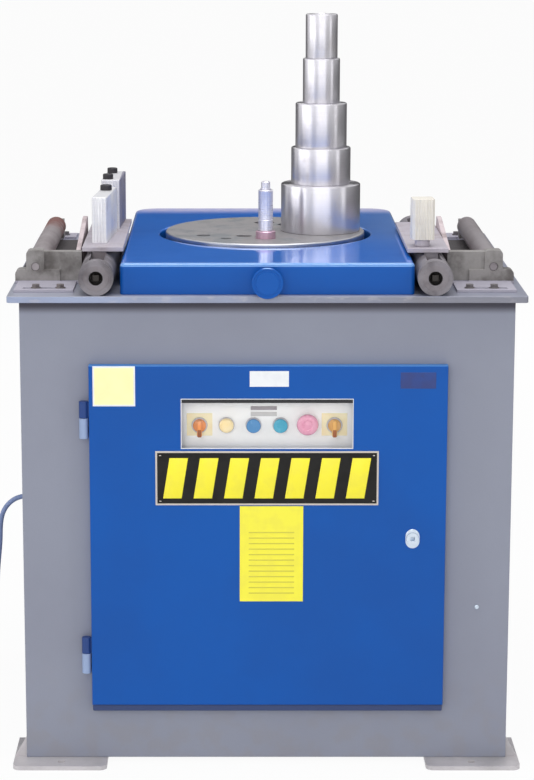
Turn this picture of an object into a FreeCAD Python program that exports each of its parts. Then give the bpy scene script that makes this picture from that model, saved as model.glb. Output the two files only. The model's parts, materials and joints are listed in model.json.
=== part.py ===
import FreeCAD, Part
import math
import os
from FreeCAD import Vector

# Rebar bending machine with a vertical bending shaft, in millimetres.
# +Z is up, the floor is z = 0, the door faces -Y, and the origin is below the middle of the machine.

# Driving dimensions: cabinet, table and disc
BODY_W = 904.0
BODY_D = 784.0
BODY_TOP = 881.0
FOOT_T = 8.0
SHEET = 3.0
TABLE_T = 12.0
TABLE_OVERHANG = 20.0
COVER_W = 536.0
COVER_H = 58.0
COVER_SETBACK = 14.0
OPENING_R = 207.0
DISC_R = 195.0
DISC_PROUD = 6.0
DISC_T = 20.0
SOCKET_R = 20.0
CENTRE_SOCKET_R = 15.0
SOCKET_RING_R = 109.0
STOP_HOLES = ((-120.0, -73.0, 13.5), (-76.0, -115.0, 10.5), (-41.0, -81.0, 15.0))

# Tooling that stands on the disc
MANDREL_RADII = (77.5, 58.0, 50.0, 36.0, 31.0)
MANDREL_TOPS = (1050.0, 1121.0, 1207.0, 1293.0, 1378.0)
PIN_R = 14.0
PIN_TOP = 1066.0

# Side slides, their tubes and the bar rollers
SIDE_X = 304.5
SLIDE_SHIFT = 6.5
TUBE_FRONT = -406.0
TUBE_BACK = 215.0
TUBE_R = 32.0
TUBE_BORE_R = 24.0
SLOT_W = 27.0
SCREW_R = 10.0
PLATE_INNER_X = 259.5
PLATE_OUTER_X = 335.5
PLATE_T = 8.0
LEFT_PLATE_Y = (-292.0, 100.0)
RIGHT_PLATE_Y = (-307.0, 53.0)
SLIDE_GAP = 0.5
PEG_R = 8.0
SCREW_HEAD_H = 10.0
ROLLER_X = 423.5
ROLLER_SHIFT = 7.5
ROLLER_R = 20.0
BRACKET_FROM = 125.0
BRACKET_T = 30.0
BRACKET_OUTER_X = 461.5
BRACKET_FOOT_T = 5.0
REAR_BRACKET_FROM = 680.0
FRONT_BOLT_Y = -345.0

# Door, its hinges and its window
DOOR_LEFT = -326.0
DOOR_RIGHT = 330.0
DOOR_Z = (118.0, 765.0)
DOOR_T = 20.0
DOOR_SHEET = 2.0
DOOR_GAP = 0.5
WINDOW_HALF_W = 158.0
WINDOW_Z = (610.0, 704.0)
HINGE_X = -336.0
HINGE_R = 8.5
HINGE_PIN_R = 4.5
HINGE_SPLITS = (666.0, 216.5)
LOCK_X = 269.0
LOCK_Z = 440.0
LOCK_R = 9.5

# Controls behind the window
CONTROL_Z = 650.0
CONTROL_PITCH = 49.6
CONTROL_COUNT = 6
LAMP = 1
EMERGENCY = 4
EMERGENCY_Z = 653.0
EMERGENCY_R = 19.8
PANEL_Y = 4.0

# Drive train: output gears, input gears and belt, each 4 to 1
OUTPUT_MODULE = 6.0
INPUT_MODULE = 4.0
PINION_TEETH = 15
GEAR_TEETH = 60
BACKLASH = 0.8
LAYSHAFT_X = 225.0
INPUT_Y = 150.0
MOTOR_X = -300.0
MOTOR_Y = 190.0
MOTOR_PULLEY_R = 35.0
BELT_RATIO = 4.0
RUN_FIT = 0.05
FREE_FIT = 0.3

# Supply cord: it leaves the left wall, drops to the floor and is coiled there
CORD_R = 5.0
CORD_Y = 108.0
CORD_Z = 392.0
RELIEF_L = 24.0
COIL_MIDDLE_R = 58.0
COIL_TURNS = 6.25
COIL_PITCH = 10.8
COIL_FLOOR = 6.4
COIL_X = -648.0

# Heights and depths worked out from the driving dimensions
FRONT = -BODY_D / 2
BACK = BODY_D / 2
TABLE_TOP = BODY_TOP + TABLE_T
COVER_TOP = TABLE_TOP + COVER_H
DISC_TOP = COVER_TOP + DISC_PROUD
DISC_BOTTOM = DISC_TOP - DISC_T
TUBE_Z = TABLE_TOP + TUBE_R
PLATE_Z = TUBE_Z + TUBE_R + SLIDE_GAP
PLATE_TOP = PLATE_Z + PLATE_T
DOOR_FRONT = FRONT - DOOR_T
OUTPUT_PITCH_R = OUTPUT_MODULE * GEAR_TEETH / 2
INPUT_PITCH_R = INPUT_MODULE * GEAR_TEETH / 2
DRIVEN_PULLEY_R = MOTOR_PULLEY_R * BELT_RATIO


def slab(x0, x1, y0, y1, z0, z1):
    corner = Vector(min(x0, x1), min(y0, y1), min(z0, z1))
    return Part.makeBox(abs(x1 - x0), abs(y1 - y0), abs(z1 - z0), corner)


def post(x, y, z0, z1, radius):
    return Part.makeCylinder(radius, z1 - z0, Vector(x, y, z0), Vector(0, 0, 1))


def rod(x, z, y0, y1, radius):
    return Part.makeCylinder(radius, y1 - y0, Vector(x, y0, z), Vector(0, 1, 0))


def cone(x, y, z0, z1, radius0, radius1):
    return Part.makeCone(radius0, radius1, z1 - z0, Vector(x, y, z0), Vector(0, 0, 1))


def ring(x, y, z0, z1, outer, inner):
    return post(x, y, z0, z1, outer).cut(post(x, y, z0, z1, inner))


def prism_y(points, y0, y1):
    corners = [Vector(x, y0, z) for x, z in points]
    face = Part.Face(Part.makePolygon(corners + corners[:1]))
    return face.extrude(Vector(0, y1 - y0, 0))


def prism_x(points, x0, x1):
    corners = [Vector(x0, y, z) for y, z in points]
    face = Part.Face(Part.makePolygon(corners + corners[:1]))
    return face.extrude(Vector(x1 - x0, 0, 0))


def prism_z(points, z0, z1):
    corners = [Vector(x, y, z0) for x, y in points]
    face = Part.Face(Part.makePolygon(corners + corners[:1]))
    return face.extrude(Vector(0, 0, z1 - z0))


def fuse(shapes):
    return shapes[0].fuse(shapes[1:]).removeSplitter()


def cut(shape, tools):
    for tool in tools:
        shape = shape.cut(tool)
    return shape


def upright_edges(shape, inside):
    chosen = []
    for edge in shape.Edges:
        ends = [v.Point for v in edge.Vertexes]
        if len(ends) == 2 and abs(ends[0].x - ends[1].x) + abs(ends[0].y - ends[1].y) < 0.01:
            if inside(ends[0]):
                chosen.append(edge)
    return chosen


def mirrored(shape):
    return shape.mirror(Vector(0, 0, 0), Vector(1, 0, 0))


def both_sides(shape):
    return [shape, mirrored(shape)]


def on_left(shape, shift):
    copy = mirrored(shape)
    copy.translate(Vector(-shift, 0, 0))
    return copy


def polar(radius, degrees):
    angle = math.radians(degrees)
    return radius * math.cos(angle), radius * math.sin(angle)


# Cabinet: welded sheet shell with folded lips, open in front behind the door and at the back
def cabinet_shell():
    half = BODY_W / 2
    lip = 28.0
    outer = slab(-half, half, FRONT, BACK, FOOT_T, BODY_TOP)
    room = slab(-half + SHEET, half - SHEET, FRONT + SHEET, BACK - SHEET, FOOT_T + SHEET, BODY_TOP - SHEET)
    hatch = slab(-half + lip, half - lip, FRONT + lip, BACK - lip, FOOT_T - 1, BODY_TOP + 1)
    doorway = slab(-300, 300, FRONT - 1, FRONT + SHEET + 1, 135, 740)
    service = slab(-265, 265, BACK - SHEET - 1, BACK + 1, 190, 700)
    gland_hole = Part.makeCylinder(8.2, 20, Vector(-half - 10, CORD_Y, CORD_Z), Vector(1, 0, 0))
    return cut(outer, [room, hatch, doorway, service, gland_hole])


# Four foot plates with an anchor hole and a gusset against the side wall
def foot_plates():
    inner, outer, reach, length = 299.0, 475.0, 50.0, 160.0
    wall = BODY_W / 2
    plate = slab(inner, outer, FRONT - reach, FRONT - reach + length, 0, FOOT_T)
    corners = upright_edges(plate, lambda p: p.y < FRONT - reach + 1)
    plate = plate.makeFillet(14, corners)
    plate = plate.cut(post(385, FRONT - reach / 2, -1, FOOT_T + 1, 7))
    gusset = prism_y([(wall, FOOT_T), (outer - 1, FOOT_T), (wall, 47)], FRONT + 6, FRONT + 14)
    front_right = fuse([plate, gusset])
    front = both_sides(front_right)
    rear = [foot.mirror(Vector(0, 0, 0), Vector(0, 1, 0)) for foot in front]
    return Part.makeCompound(front + rear)


# Table plate on top of the cabinet, with a round hole for the bearing housing
def top_plate():
    half = BODY_W / 2 + TABLE_OVERHANG + 1
    plate = slab(-half, half, FRONT - TABLE_OVERHANG, BACK + TABLE_OVERHANG, BODY_TOP, TABLE_TOP)
    plate = plate.makeFillet(5, upright_edges(plate, lambda p: True))
    return plate.cut(post(0, 0, BODY_TOP - 1, TABLE_TOP + 1, 100))


# Blue bed cover: folded sheet box with rounded edges and a collar rolled down round the disc's opening
def bed_cover():
    half = COVER_W / 2
    wall = 4.0
    back = BACK - COVER_SETBACK
    outer = slab(-half, half, FRONT, back, TABLE_TOP, COVER_TOP)
    outer = outer.makeFillet(48, upright_edges(outer, lambda p: p.y > 0))
    outer = outer.makeFillet(8, upright_edges(outer, lambda p: p.y < FRONT + 1))
    outer = outer.makeFillet(7, [e for e in outer.Edges if abs(e.CenterOfMass.z - COVER_TOP) < 0.01])
    room = slab(-half + wall, half - wall, FRONT + wall, back - wall, TABLE_TOP - 1, COVER_TOP - 5)
    room = room.makeFillet(44, upright_edges(room, lambda p: p.y > 0))
    sheet = cut(outer, [room, post(0, 0, TABLE_TOP, COVER_TOP + 1, OPENING_R)])
    whole = fuse([sheet, ring(0, 0, COVER_TOP - 26, COVER_TOP, OPENING_R + 4, OPENING_R)])
    lip = [e for e in whole.Edges if len(e.Vertexes) == 1 and abs(e.CenterOfMass.z - COVER_TOP) < 0.01]
    return whole.makeFillet(3, lip)


# Round cap on the middle of the cover's front, standing just in front of the table edge
def front_cap():
    z = TABLE_TOP + 24.5
    edge = FRONT - TABLE_OVERHANG
    hub = rod(0, z, edge - 0.3, FRONT, 18)
    face = rod(0, z, edge - 5.3, edge - 0.3, 28.5)
    rim = [e for e in face.Edges if abs(e.CenterOfMass.y - (edge - 5.3)) < 0.01]
    return fuse([hub, face.makeFillet(2.5, rim)])


# Gear with straight chords between root, pitch and tip points of each flank
def gear(x, y, z0, z1, module, teeth, bore, first_tooth):
    pitch_r = module * teeth / 2
    base_r = pitch_r * math.cos(math.radians(20))
    half_tooth = (math.pi * module / 4 - BACKLASH / 2) / pitch_r

    def involute(angle):
        return math.tan(angle) - angle

    def flank(radius):
        roll = math.acos(min(1.0, base_r / radius)) if radius > base_r else 0.0
        return half_tooth + involute(math.radians(20)) - involute(roll)

    radii = (pitch_r - 1.25 * module, pitch_r, pitch_r + 0.95 * module)
    points = []
    for k in range(teeth):
        middle = math.radians(first_tooth) + 2 * math.pi * k / teeth
        for radius in radii:
            angle = middle - flank(radius)
            points.append((x + radius * math.cos(angle), y + radius * math.sin(angle)))
        for radius in reversed(radii):
            angle = middle + flank(radius)
            points.append((x + radius * math.cos(angle), y + radius * math.sin(angle)))
    wheel = prism_z(points, z0, z1)
    return wheel.cut(post(x, y, z0 - 1, z1 + 1, bore)) if bore else wheel


# Main gear levels: the output pair turns above the input pair
OUTPUT_Z = (800.0, 845.0)
INPUT_Z = (765.0, 793.0)
LID_Z = (745.0, 757.0)
ROOF_Z = (866.0, BODY_TOP)
HOUSING_X = (-205.0, 365.0)
HOUSING_HALF_D = 205.0
BEARING_SEATS = ((LAYSHAFT_X, 0.0), (LAYSHAFT_X, INPUT_Y))


def gearbox_housing():
    wall = 10.0
    x0, x1 = HOUSING_X
    outer = slab(x0, x1, -HOUSING_HALF_D, HOUSING_HALF_D, LID_Z[1], ROOF_Z[1])
    outer = outer.makeFillet(30, upright_edges(outer, lambda p: True))
    room = slab(x0 + wall, x1 - wall, -HOUSING_HALF_D + wall, HOUSING_HALF_D - wall, LID_Z[1] - 1, ROOF_Z[0])
    room = room.makeFillet(20, upright_edges(room, lambda p: True))
    tools = [room, post(0, 0, ROOF_Z[0] - 1, ROOF_Z[1] + 1, 95)]
    for x, y in BEARING_SEATS:
        tools.append(post(x, y, ROOF_Z[0] - 1, ROOF_Z[1] - 2, 31))
    return cut(outer, tools)


def gearbox_lid():
    x0, x1 = HOUSING_X
    plate = slab(x0, x1, -HOUSING_HALF_D, HOUSING_HALF_D, LID_Z[0], LID_Z[1])
    plate = plate.makeFillet(30, upright_edges(plate, lambda p: True))
    tools = [post(0, 0, LID_Z[0] - 1, LID_Z[1] + 1, 50)]
    for x, y in BEARING_SEATS:
        tools.append(post(x, y, LID_Z[0] - 1, LID_Z[1] + 1, 31))
    return cut(plate, tools)


# Bearing housing under the disc: flange on the table, neck down through the table plate
def disc_bearing_housing():
    flange = post(0, 0, TABLE_TOP, TABLE_TOP + 12, 140)
    neck = post(0, 0, ROOF_Z[0], TABLE_TOP + 28, 94.5)
    bolts = [post(*polar(122, 60 * k), TABLE_TOP + 12, TABLE_TOP + 20, 9) for k in range(6)]
    return fuse([flange, neck] + bolts).cut(post(0, 0, ROOF_Z[0] - 1, TABLE_TOP + 30, 70))


def bearings():
    rings = [ring(0, 0, TABLE_TOP - 12, TABLE_TOP + 24, 70, 40 + RUN_FIT)]
    rings.append(ring(0, 0, LID_Z[0], LID_Z[1], 50, 30 + RUN_FIT))
    for x, y in BEARING_SEATS:
        rings.append(ring(x, y, ROOF_Z[0], ROOF_Z[1] - 2, 31, 15 + RUN_FIT))
        rings.append(ring(x, y, LID_Z[0], LID_Z[1], 31, 15 + RUN_FIT))
    return Part.makeCompound(rings)


# Bending disc: sockets for mandrels and pins, and smaller holes for stop pins
def disc_holes():
    holes = [polar(SOCKET_RING_R, angle) + (SOCKET_R,) for angle in (-90, 0, 90)]
    holes.append((0.0, 0.0, CENTRE_SOCKET_R))
    holes += STOP_HOLES
    return holes + [(-x, -y, radius) for x, y, radius in STOP_HOLES]


def bending_disc():
    disc = post(0, 0, DISC_BOTTOM, DISC_TOP, DISC_R)
    disc = disc.makeChamfer(2, [e for e in disc.Edges if abs(e.CenterOfMass.z - DISC_TOP) < 0.01])
    return cut(disc, [post(x, y, DISC_BOTTOM - 1, DISC_TOP + 1, radius) for x, y, radius in disc_holes()])


def main_shaft():
    flange = post(0, 0, TABLE_TOP + 32, DISC_BOTTOM, 74)
    upper = post(0, 0, OUTPUT_Z[0] - 5, TABLE_TOP + 32, 40)
    lower = post(0, 0, 700, OUTPUT_Z[0] - 5, 30)
    cam = post(0, 0, 706, 720, 62).cut(slab(48, 70, -12, 12, 705, 721))
    shaft = fuse([flange, upper, lower, cam])
    return shaft.cut(post(0, 0, 905, DISC_BOTTOM + 1, CENTRE_SOCKET_R))


def main_gear():
    wheel = gear(0, 0, OUTPUT_Z[0], OUTPUT_Z[1], OUTPUT_MODULE, GEAR_TEETH, 40, 0)
    tools = [post(*polar(105, 60 * k + 30), OUTPUT_Z[0] - 1, OUTPUT_Z[1] + 1, 32) for k in range(6)]
    return cut(wheel, tools)


def layshaft():
    pinion = gear(LAYSHAFT_X, 0, OUTPUT_Z[0], OUTPUT_Z[1], OUTPUT_MODULE, PINION_TEETH, 0, 0)
    wheel = gear(LAYSHAFT_X, 0, INPUT_Z[0], INPUT_Z[1], INPUT_MODULE, GEAR_TEETH, 0, 0)
    body = post(LAYSHAFT_X, 0, LID_Z[1] + 1, ROOF_Z[0] - 1, 22)
    ends = post(LAYSHAFT_X, 0, LID_Z[0], ROOF_Z[1] - 3, 15)
    return fuse([body, pinion, wheel, ends])


# The input shaft turns in the same housing and carries the driven pulley below the lid
PULLEY_Z = (660.0, 700.0)
GROOVE_Z = (664.0, 684.0)
GROOVE_W = 12.0
BELT_W = 10.0
BELT_DEPTH = 8.0


def pulley(x, y, pitch_r, bore):
    wheel = post(x, y, PULLEY_Z[0], PULLEY_Z[1], pitch_r + 5)
    tools = []
    for z in GROOVE_Z:
        tools.append(ring(x, y, z, z + GROOVE_W, pitch_r + 10, pitch_r - 6))
    tools.append(post(x, y, PULLEY_Z[0] - 1, PULLEY_Z[1] + 1, bore))
    return cut(wheel, tools)


def input_shaft():
    pinion = gear(LAYSHAFT_X, INPUT_Y, INPUT_Z[0], INPUT_Z[1], INPUT_MODULE, PINION_TEETH, 0, 18)
    body = post(LAYSHAFT_X, INPUT_Y, LID_Z[1] + 1, ROOF_Z[0] - 1, 20)
    ends = post(LAYSHAFT_X, INPUT_Y, PULLEY_Z[0] - 4, ROOF_Z[1] - 3, 15)
    return fuse([pinion, body, ends])


def driven_pulley():
    return pulley(LAYSHAFT_X, INPUT_Y, DRIVEN_PULLEY_R, 15)


# Motor hangs below a plate on four posts behind the left side of the gearbox
HANGER_Z = (632.0, 644.0)
MOTOR_Z = (330.0, 620.0)


def motor_hanger():
    plate = slab(MOTOR_X - 110, MOTOR_X + 90, MOTOR_Y - 115, MOTOR_Y + 110, HANGER_Z[0], HANGER_Z[1])
    plate = plate.cut(post(MOTOR_X, MOTOR_Y, HANGER_Z[0] - 1, HANGER_Z[1] + 1, 40))
    legs = [post(MOTOR_X + dx, MOTOR_Y + dy, HANGER_Z[1], BODY_TOP, 9)
            for dx in (-95, 78) for dy in (-100, 95)]
    return fuse([plate] + legs)


def motor_body():
    flange = post(MOTOR_X, MOTOR_Y, MOTOR_Z[1], HANGER_Z[0], 92)
    case = post(MOTOR_X, MOTOR_Y, MOTOR_Z[0], MOTOR_Z[1], 80)
    cowl = post(MOTOR_X, MOTOR_Y, MOTOR_Z[0] - 60, MOTOR_Z[0], 84)
    box = slab(MOTOR_X - 45, MOTOR_X + 45, MOTOR_Y - 118, MOTOR_Y - 70, 470, 570)
    fins = []
    for k in range(12):
        fin = slab(78, 88, -2.5, 2.5, MOTOR_Z[0] + 20, MOTOR_Z[1] - 25)
        fin.rotate(Vector(0, 0, 0), Vector(0, 0, 1), 30 * k + 15)
        fin.translate(Vector(MOTOR_X, MOTOR_Y, 0))
        fins.append(fin)
    whole = fuse([flange, case, cowl, box] + fins)
    return whole.cut(post(MOTOR_X, MOTOR_Y, MOTOR_Z[0] + 150, HANGER_Z[0] + 1, 14 + RUN_FIT))


def motor_shaft():
    shaft = post(MOTOR_X, MOTOR_Y, MOTOR_Z[0] + 151, PULLEY_Z[1] + 4, 14)
    return fuse([shaft, pulley(MOTOR_X, MOTOR_Y, MOTOR_PULLEY_R, 13)])


# Two belts round the pulleys: each is the band between an outer and an inner loop
def belt_loop(offset, z0, z1):
    small, large = MOTOR_PULLEY_R + offset, DRIVEN_PULLEY_R + offset
    dx, dy = LAYSHAFT_X - MOTOR_X, INPUT_Y - MOTOR_Y
    centre_line = math.atan2(dy, dx)
    lean = math.acos((large - small) / math.hypot(dx, dy))
    upper, lower = centre_line + math.pi - lean, centre_line + math.pi + lean

    def on(x, y, radius, angle):
        return Vector(x + radius * math.cos(angle), y + radius * math.sin(angle), z0)

    small_ends = [on(MOTOR_X, MOTOR_Y, small, a) for a in (upper, lower)]
    large_ends = [on(LAYSHAFT_X, INPUT_Y, large, a) for a in (upper, lower)]
    small_arc = Part.Arc(small_ends[0], on(MOTOR_X, MOTOR_Y, small, centre_line + math.pi), small_ends[1])
    large_arc = Part.Arc(large_ends[1], on(LAYSHAFT_X, INPUT_Y, large, centre_line), large_ends[0])
    edges = [small_arc.toShape(), Part.makeLine(small_ends[1], large_ends[1]),
             large_arc.toShape(), Part.makeLine(large_ends[0], small_ends[0])]
    return Part.Face(Part.Wire(edges)).extrude(Vector(0, 0, z1 - z0))


def drive_belts():
    belts = []
    for z in GROOVE_Z:
        z0 = z + (GROOVE_W - BELT_W) / 2
        outer = belt_loop(BELT_DEPTH / 2, z0, z0 + BELT_W)
        inner = belt_loop(-BELT_DEPTH / 2, z0, z0 + BELT_W)
        belts.append(outer.cut(inner))
    return Part.makeCompound(belts)


def limit_switches():
    switches = []
    for side in (-1, 1):
        case = slab(side * 85, side * 125, -20, 20, 706, LID_Z[0])
        arm = slab(side * 68, side * 85, -4, 4, 710, 716)
        switches.append(fuse([case, arm]))
    return Part.makeCompound(switches)


# Electrical box behind the window, open towards the door
BOX_HALF_W = 190.0
BOX_Z = (560.0, 800.0)


def electric_box():
    wall = 1.5
    back = FRONT + 140
    outer = slab(-BOX_HALF_W, BOX_HALF_W, FRONT + SHEET, back, BOX_Z[0], BOX_Z[1])
    room = slab(-BOX_HALF_W + wall, BOX_HALF_W - wall, FRONT, back - wall, BOX_Z[0] + wall, BOX_Z[1] - wall)
    return outer.cut(room)


def contactors():
    back = FRONT + 138.5
    rail = slab(-150, 150, back - 8, back, 640, 675)
    units = [slab(x, x + 44, back - 78, back - 8, 620, 696) for x in (-140, -92, -44, 20)]
    units.append(slab(78, 140, back - 60, back - 8, 615, 700))
    return Part.makeCompound([rail] + units)


def control_x(k):
    return (k - (CONTROL_COUNT - 1) / 2) * CONTROL_PITCH


def control_z(k):
    return EMERGENCY_Z if k == EMERGENCY else CONTROL_Z


# White panel behind the window, with a hole for each control's stem
def control_panel():
    half = BOX_HALF_W - 1.5
    y0 = FRONT + PANEL_Y
    plate = slab(-half, half, y0, y0 + 2, 585, 735)
    stems = [rod(control_x(k), control_z(k), y0 - 1, y0 + 3, 11) for k in range(CONTROL_COUNT)]
    return cut(plate, stems)


# Collars that clamp the controls to the panel, and the body of the pilot lamp
def control_collars():
    y0 = FRONT + PANEL_Y
    collars = []
    for k in range(CONTROL_COUNT):
        x = control_x(k)
        z = control_z(k)
        collar = rod(x, z, y0 - 4, y0, 14.7)
        barrel = rod(x, z, y0, y0 + 40, 10.9)
        solid = fuse([collar, barrel])
        if k == LAMP:
            dome = rod(x, z, y0 - 12, y0 - 4, 13)
            rim = [e for e in dome.Edges if abs(e.CenterOfMass.y - (y0 - 12)) < 0.01]
            solid = fuse([solid, dome.makeFillet(5, rim)])
        else:
            solid = solid.cut(rod(x, z, y0 - 5, y0 + 20, 8))
        collars.append(solid)
    return Part.makeCompound(collars)


def selector(k):
    x = control_x(k)
    y0 = FRONT + PANEL_Y
    stem = rod(x, CONTROL_Z, y0 - 4.5, y0 + 19, 8 - RUN_FIT)
    base = rod(x, CONTROL_Z, y0 - 10, y0 - 4.5, 12)
    handle = slab(x - 4.5, x + 4.5, y0 - 18, y0 - 8, CONTROL_Z - 20, CONTROL_Z + 11)
    handle = handle.makeFillet(2.5, [e for e in handle.Edges if abs(e.CenterOfMass.y - (y0 - 18)) < 0.01])
    return fuse([stem, base, handle])


def push_button(k):
    x = control_x(k)
    y0 = FRONT + PANEL_Y
    stem = rod(x, CONTROL_Z, y0 - 9, y0 + 12, 8 - RUN_FIT)
    head = rod(x, CONTROL_Z, y0 - 12.5, y0 - 9, 13)
    face = [e for e in head.Edges if abs(e.CenterOfMass.y - (y0 - 12.5)) < 0.01]
    return fuse([stem, head.makeChamfer(1.2, face)])


def emergency_button():
    x = control_x(EMERGENCY)
    y0 = FRONT + PANEL_Y
    face_y = y0 - 20
    stem = rod(x, EMERGENCY_Z, y0 - 10.5, y0 + 12, 8 - RUN_FIT)
    head = rod(x, EMERGENCY_Z, face_y, y0 - 10.5, EMERGENCY_R)
    face = [e for e in head.Edges if abs(e.CenterOfMass.y - face_y) < 0.01]
    return fuse([stem, head.makeFillet(6, face)])


# Door: folded tray with a window; its left edge carries the upper knuckles of two lift-off hinges
def door():
    z0, z1 = DOOR_Z
    back = FRONT - DOOR_GAP
    outer = slab(DOOR_LEFT, DOOR_RIGHT, DOOR_FRONT, back, z0, z1)
    rims = [e for e in outer.Edges if abs(e.CenterOfMass.y - DOOR_FRONT) < 0.01]
    outer = outer.makeFillet(2, rims)
    inside = slab(DOOR_LEFT + DOOR_SHEET, DOOR_RIGHT - DOOR_SHEET, DOOR_FRONT + DOOR_SHEET,
                  back + 1, z0 + DOOR_SHEET, z1 - DOOR_SHEET)
    window = slab(-WINDOW_HALF_W, WINDOW_HALF_W, DOOR_FRONT - 1, back + 1, *WINDOW_Z)
    lock_hole = rod(LOCK_X, LOCK_Z, DOOR_FRONT - 1, DOOR_FRONT + DOOR_SHEET + 1, LOCK_R)
    return cut(outer, [inside, window, lock_hole])


def door_knuckles():
    pivot_y = FRONT - 9.5
    knuckles = []
    for split in HINGE_SPLITS:
        barrel = post(HINGE_X, pivot_y, split + 0.5, split + 31, HINGE_R)
        tab = slab(HINGE_X, DOOR_LEFT, pivot_y - 4, pivot_y + 4, split + 1, split + 30)
        knuckle = fuse([barrel, tab])
        knuckles.append(knuckle.cut(post(HINGE_X, pivot_y, split, split + 22, HINGE_PIN_R + RUN_FIT)))
    return Part.makeCompound(knuckles)


def hinge_posts():
    pivot_y = FRONT - 9.5
    posts = []
    for split in HINGE_SPLITS:
        barrel = post(HINGE_X, pivot_y, split - 38, split, HINGE_R)
        weld = slab(HINGE_X - 8, HINGE_X + 8, pivot_y, FRONT, split - 36, split - 2)
        pin = post(HINGE_X, pivot_y, split, split + 20, HINGE_PIN_R)
        posts.append(fuse([barrel, weld, pin]))
    return Part.makeCompound(posts)


def door_plates():
    y0 = DOOR_FRONT - 1.2
    name_plate = slab(-205, 205, y0, DOOR_FRONT, 504, 606)
    notice = slab(-50, 67, y0, DOOR_FRONT, 320, 502)
    return Part.makeCompound([name_plate, notice])


# Quarter-turn lock: square insert in a round barrel, with a cam behind the door skin
def lock_insert():
    barrel = rod(LOCK_X, LOCK_Z, DOOR_FRONT - 1.5, FRONT + 9, LOCK_R - RUN_FIT)
    collar = rod(LOCK_X, LOCK_Z, DOOR_FRONT - 3, DOOR_FRONT - 0.3, LOCK_R + 2)
    slot = slab(LOCK_X - 4, LOCK_X + 4, DOOR_FRONT - 4, DOOR_FRONT + 8, LOCK_Z - 4, LOCK_Z + 4)
    cam = slab(LOCK_X - 8, LOCK_X + 8, FRONT + 5, FRONT + 8, LOCK_Z - 40, LOCK_Z + 8)
    return cut(fuse([barrel, collar, cam]), [slot])


def rear_cover():
    plate = slab(-285, 285, BACK, BACK + 2, 170, 720)
    tools = [slab(x - 100, x + 100, BACK - 1, BACK + 3, z, z + 7)
             for x in (-130, 130) for z in [330 + 26 * k for k in range(9)]]
    return cut(plate, tools)


# Guide tubes of the side slides, slotted along the top, with a bush in each end
def guide_tube():
    plug = 30.0
    y0, y1 = TUBE_FRONT + plug, TUBE_BACK - plug
    tube = rod(SIDE_X, TUBE_Z, TUBE_FRONT, TUBE_BACK, TUBE_R)
    tube = tube.cut(rod(SIDE_X, TUBE_Z, y0, y1, TUBE_BORE_R))
    slot = slab(SIDE_X - SLOT_W / 2, SIDE_X + SLOT_W / 2, y0, y1, TUBE_Z, TUBE_Z + TUBE_R + 1)
    recess = rod(SIDE_X, TUBE_Z, TUBE_FRONT - 1, TUBE_FRONT + 18, 13)
    bore = rod(SIDE_X, TUBE_Z, TUBE_FRONT + 1, TUBE_BACK - 8, SCREW_R + RUN_FIT)
    seats = [slab(SIDE_X - 18, SIDE_X + 18, y, y + 40, TABLE_TOP, TABLE_TOP + 12) for y in (-230, 90)]
    pads = [seat.cut(rod(SIDE_X, TUBE_Z, TUBE_FRONT, TUBE_BACK, TUBE_R - 0.01)) for seat in seats]
    return fuse([cut(tube, [slot, recess, bore])] + pads)


def guide_tubes():
    tube = guide_tube()
    return Part.makeCompound([tube, on_left(tube, SLIDE_SHIFT)])


def feed_screw():
    body = rod(SIDE_X, TUBE_Z, TUBE_FRONT + 18.5, TUBE_BACK - 9, SCREW_R)
    square = slab(SIDE_X - 6, SIDE_X + 6, TUBE_FRONT + 4, TUBE_FRONT + 18.5, TUBE_Z - 6, TUBE_Z + 6)
    return fuse([body, square])


# Peg bores in the slides: place and depth; the shallow ones go through the plate only
LEFT_PEGS = ((-311.0, -160.0, 24.0), (-305.0, 25.0, 8.0))
RIGHT_PEGS = ((289.0, -272.0, 8.0), (304.5, -92.0, 24.0), (304.5, -12.0, 24.0))


# Slide: plate over the tube, neck through the slot, shoe with a nut bore round the screw
def slide(reach, pegs, is_left):
    y0, y1 = reach
    plate = slab(PLATE_INNER_X, PLATE_OUTER_X, y0, y1, PLATE_Z, PLATE_TOP)
    neck = slab(SIDE_X - 13, SIDE_X + 13, y0 + 10, y1 - 10, TUBE_Z + 12, PLATE_Z)
    shoe = rod(SIDE_X, TUBE_Z, y0 + 10, y1 - 10, TUBE_BORE_R - FREE_FIT)
    body = fuse([plate, neck, shoe]).cut(rod(SIDE_X, TUBE_Z, y0, y1, SCREW_R + FREE_FIT))
    if is_left:
        body = on_left(body, SLIDE_SHIFT)
    return cut(body, [post(x, y, PLATE_TOP - depth, PLATE_TOP + 1, PEG_R + RUN_FIT) for x, y, depth in pegs])


# Round screw head with a hexagon socket, on top of a block
def screw_head(x, y, z, radius):
    return post(x, y, z, z + SCREW_HEAD_H, radius).cut(hexagon(x, y, z + 4, z + SCREW_HEAD_H + 1, 10))


# Contrast blocks: steel bars held by a peg, with screw heads on top
def contrast_block(x, width, length, height, screws, turn, peg, peg_length):
    peg_x, y, _ = peg
    top = PLATE_TOP + height
    body = slab(x - width / 2, x + width / 2, y - length / 2, y + length / 2, PLATE_TOP, top)
    body = body.makeChamfer(1.5, upright_edges(body, lambda p: True))
    body = fuse([body] + [screw_head(x + dx, y + dy, top, radius) for dx, dy, radius in screws])
    body.rotate(Vector(x, y, 0), Vector(0, 0, 1), turn)
    return fuse([body, post(peg_x, y, PLATE_TOP - peg_length, PLATE_TOP, PEG_R)])


def right_block(peg):
    x, y, _ = peg
    half, neck_h, height = 20.5, 13.0, 89.5
    body = slab(x - half, x + half, y - half, y + half, PLATE_TOP + neck_h, PLATE_TOP + height)
    body = body.makeChamfer(4, upright_edges(body, lambda p: True))
    block = fuse([body, post(x, y, PLATE_TOP, PLATE_TOP + neck_h, 14), post(x, y, PLATE_TOP - 7, PLATE_TOP, PEG_R)])
    block.rotate(Vector(x, y, 0), Vector(0, 0, 1), 3.5)
    return block


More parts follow.
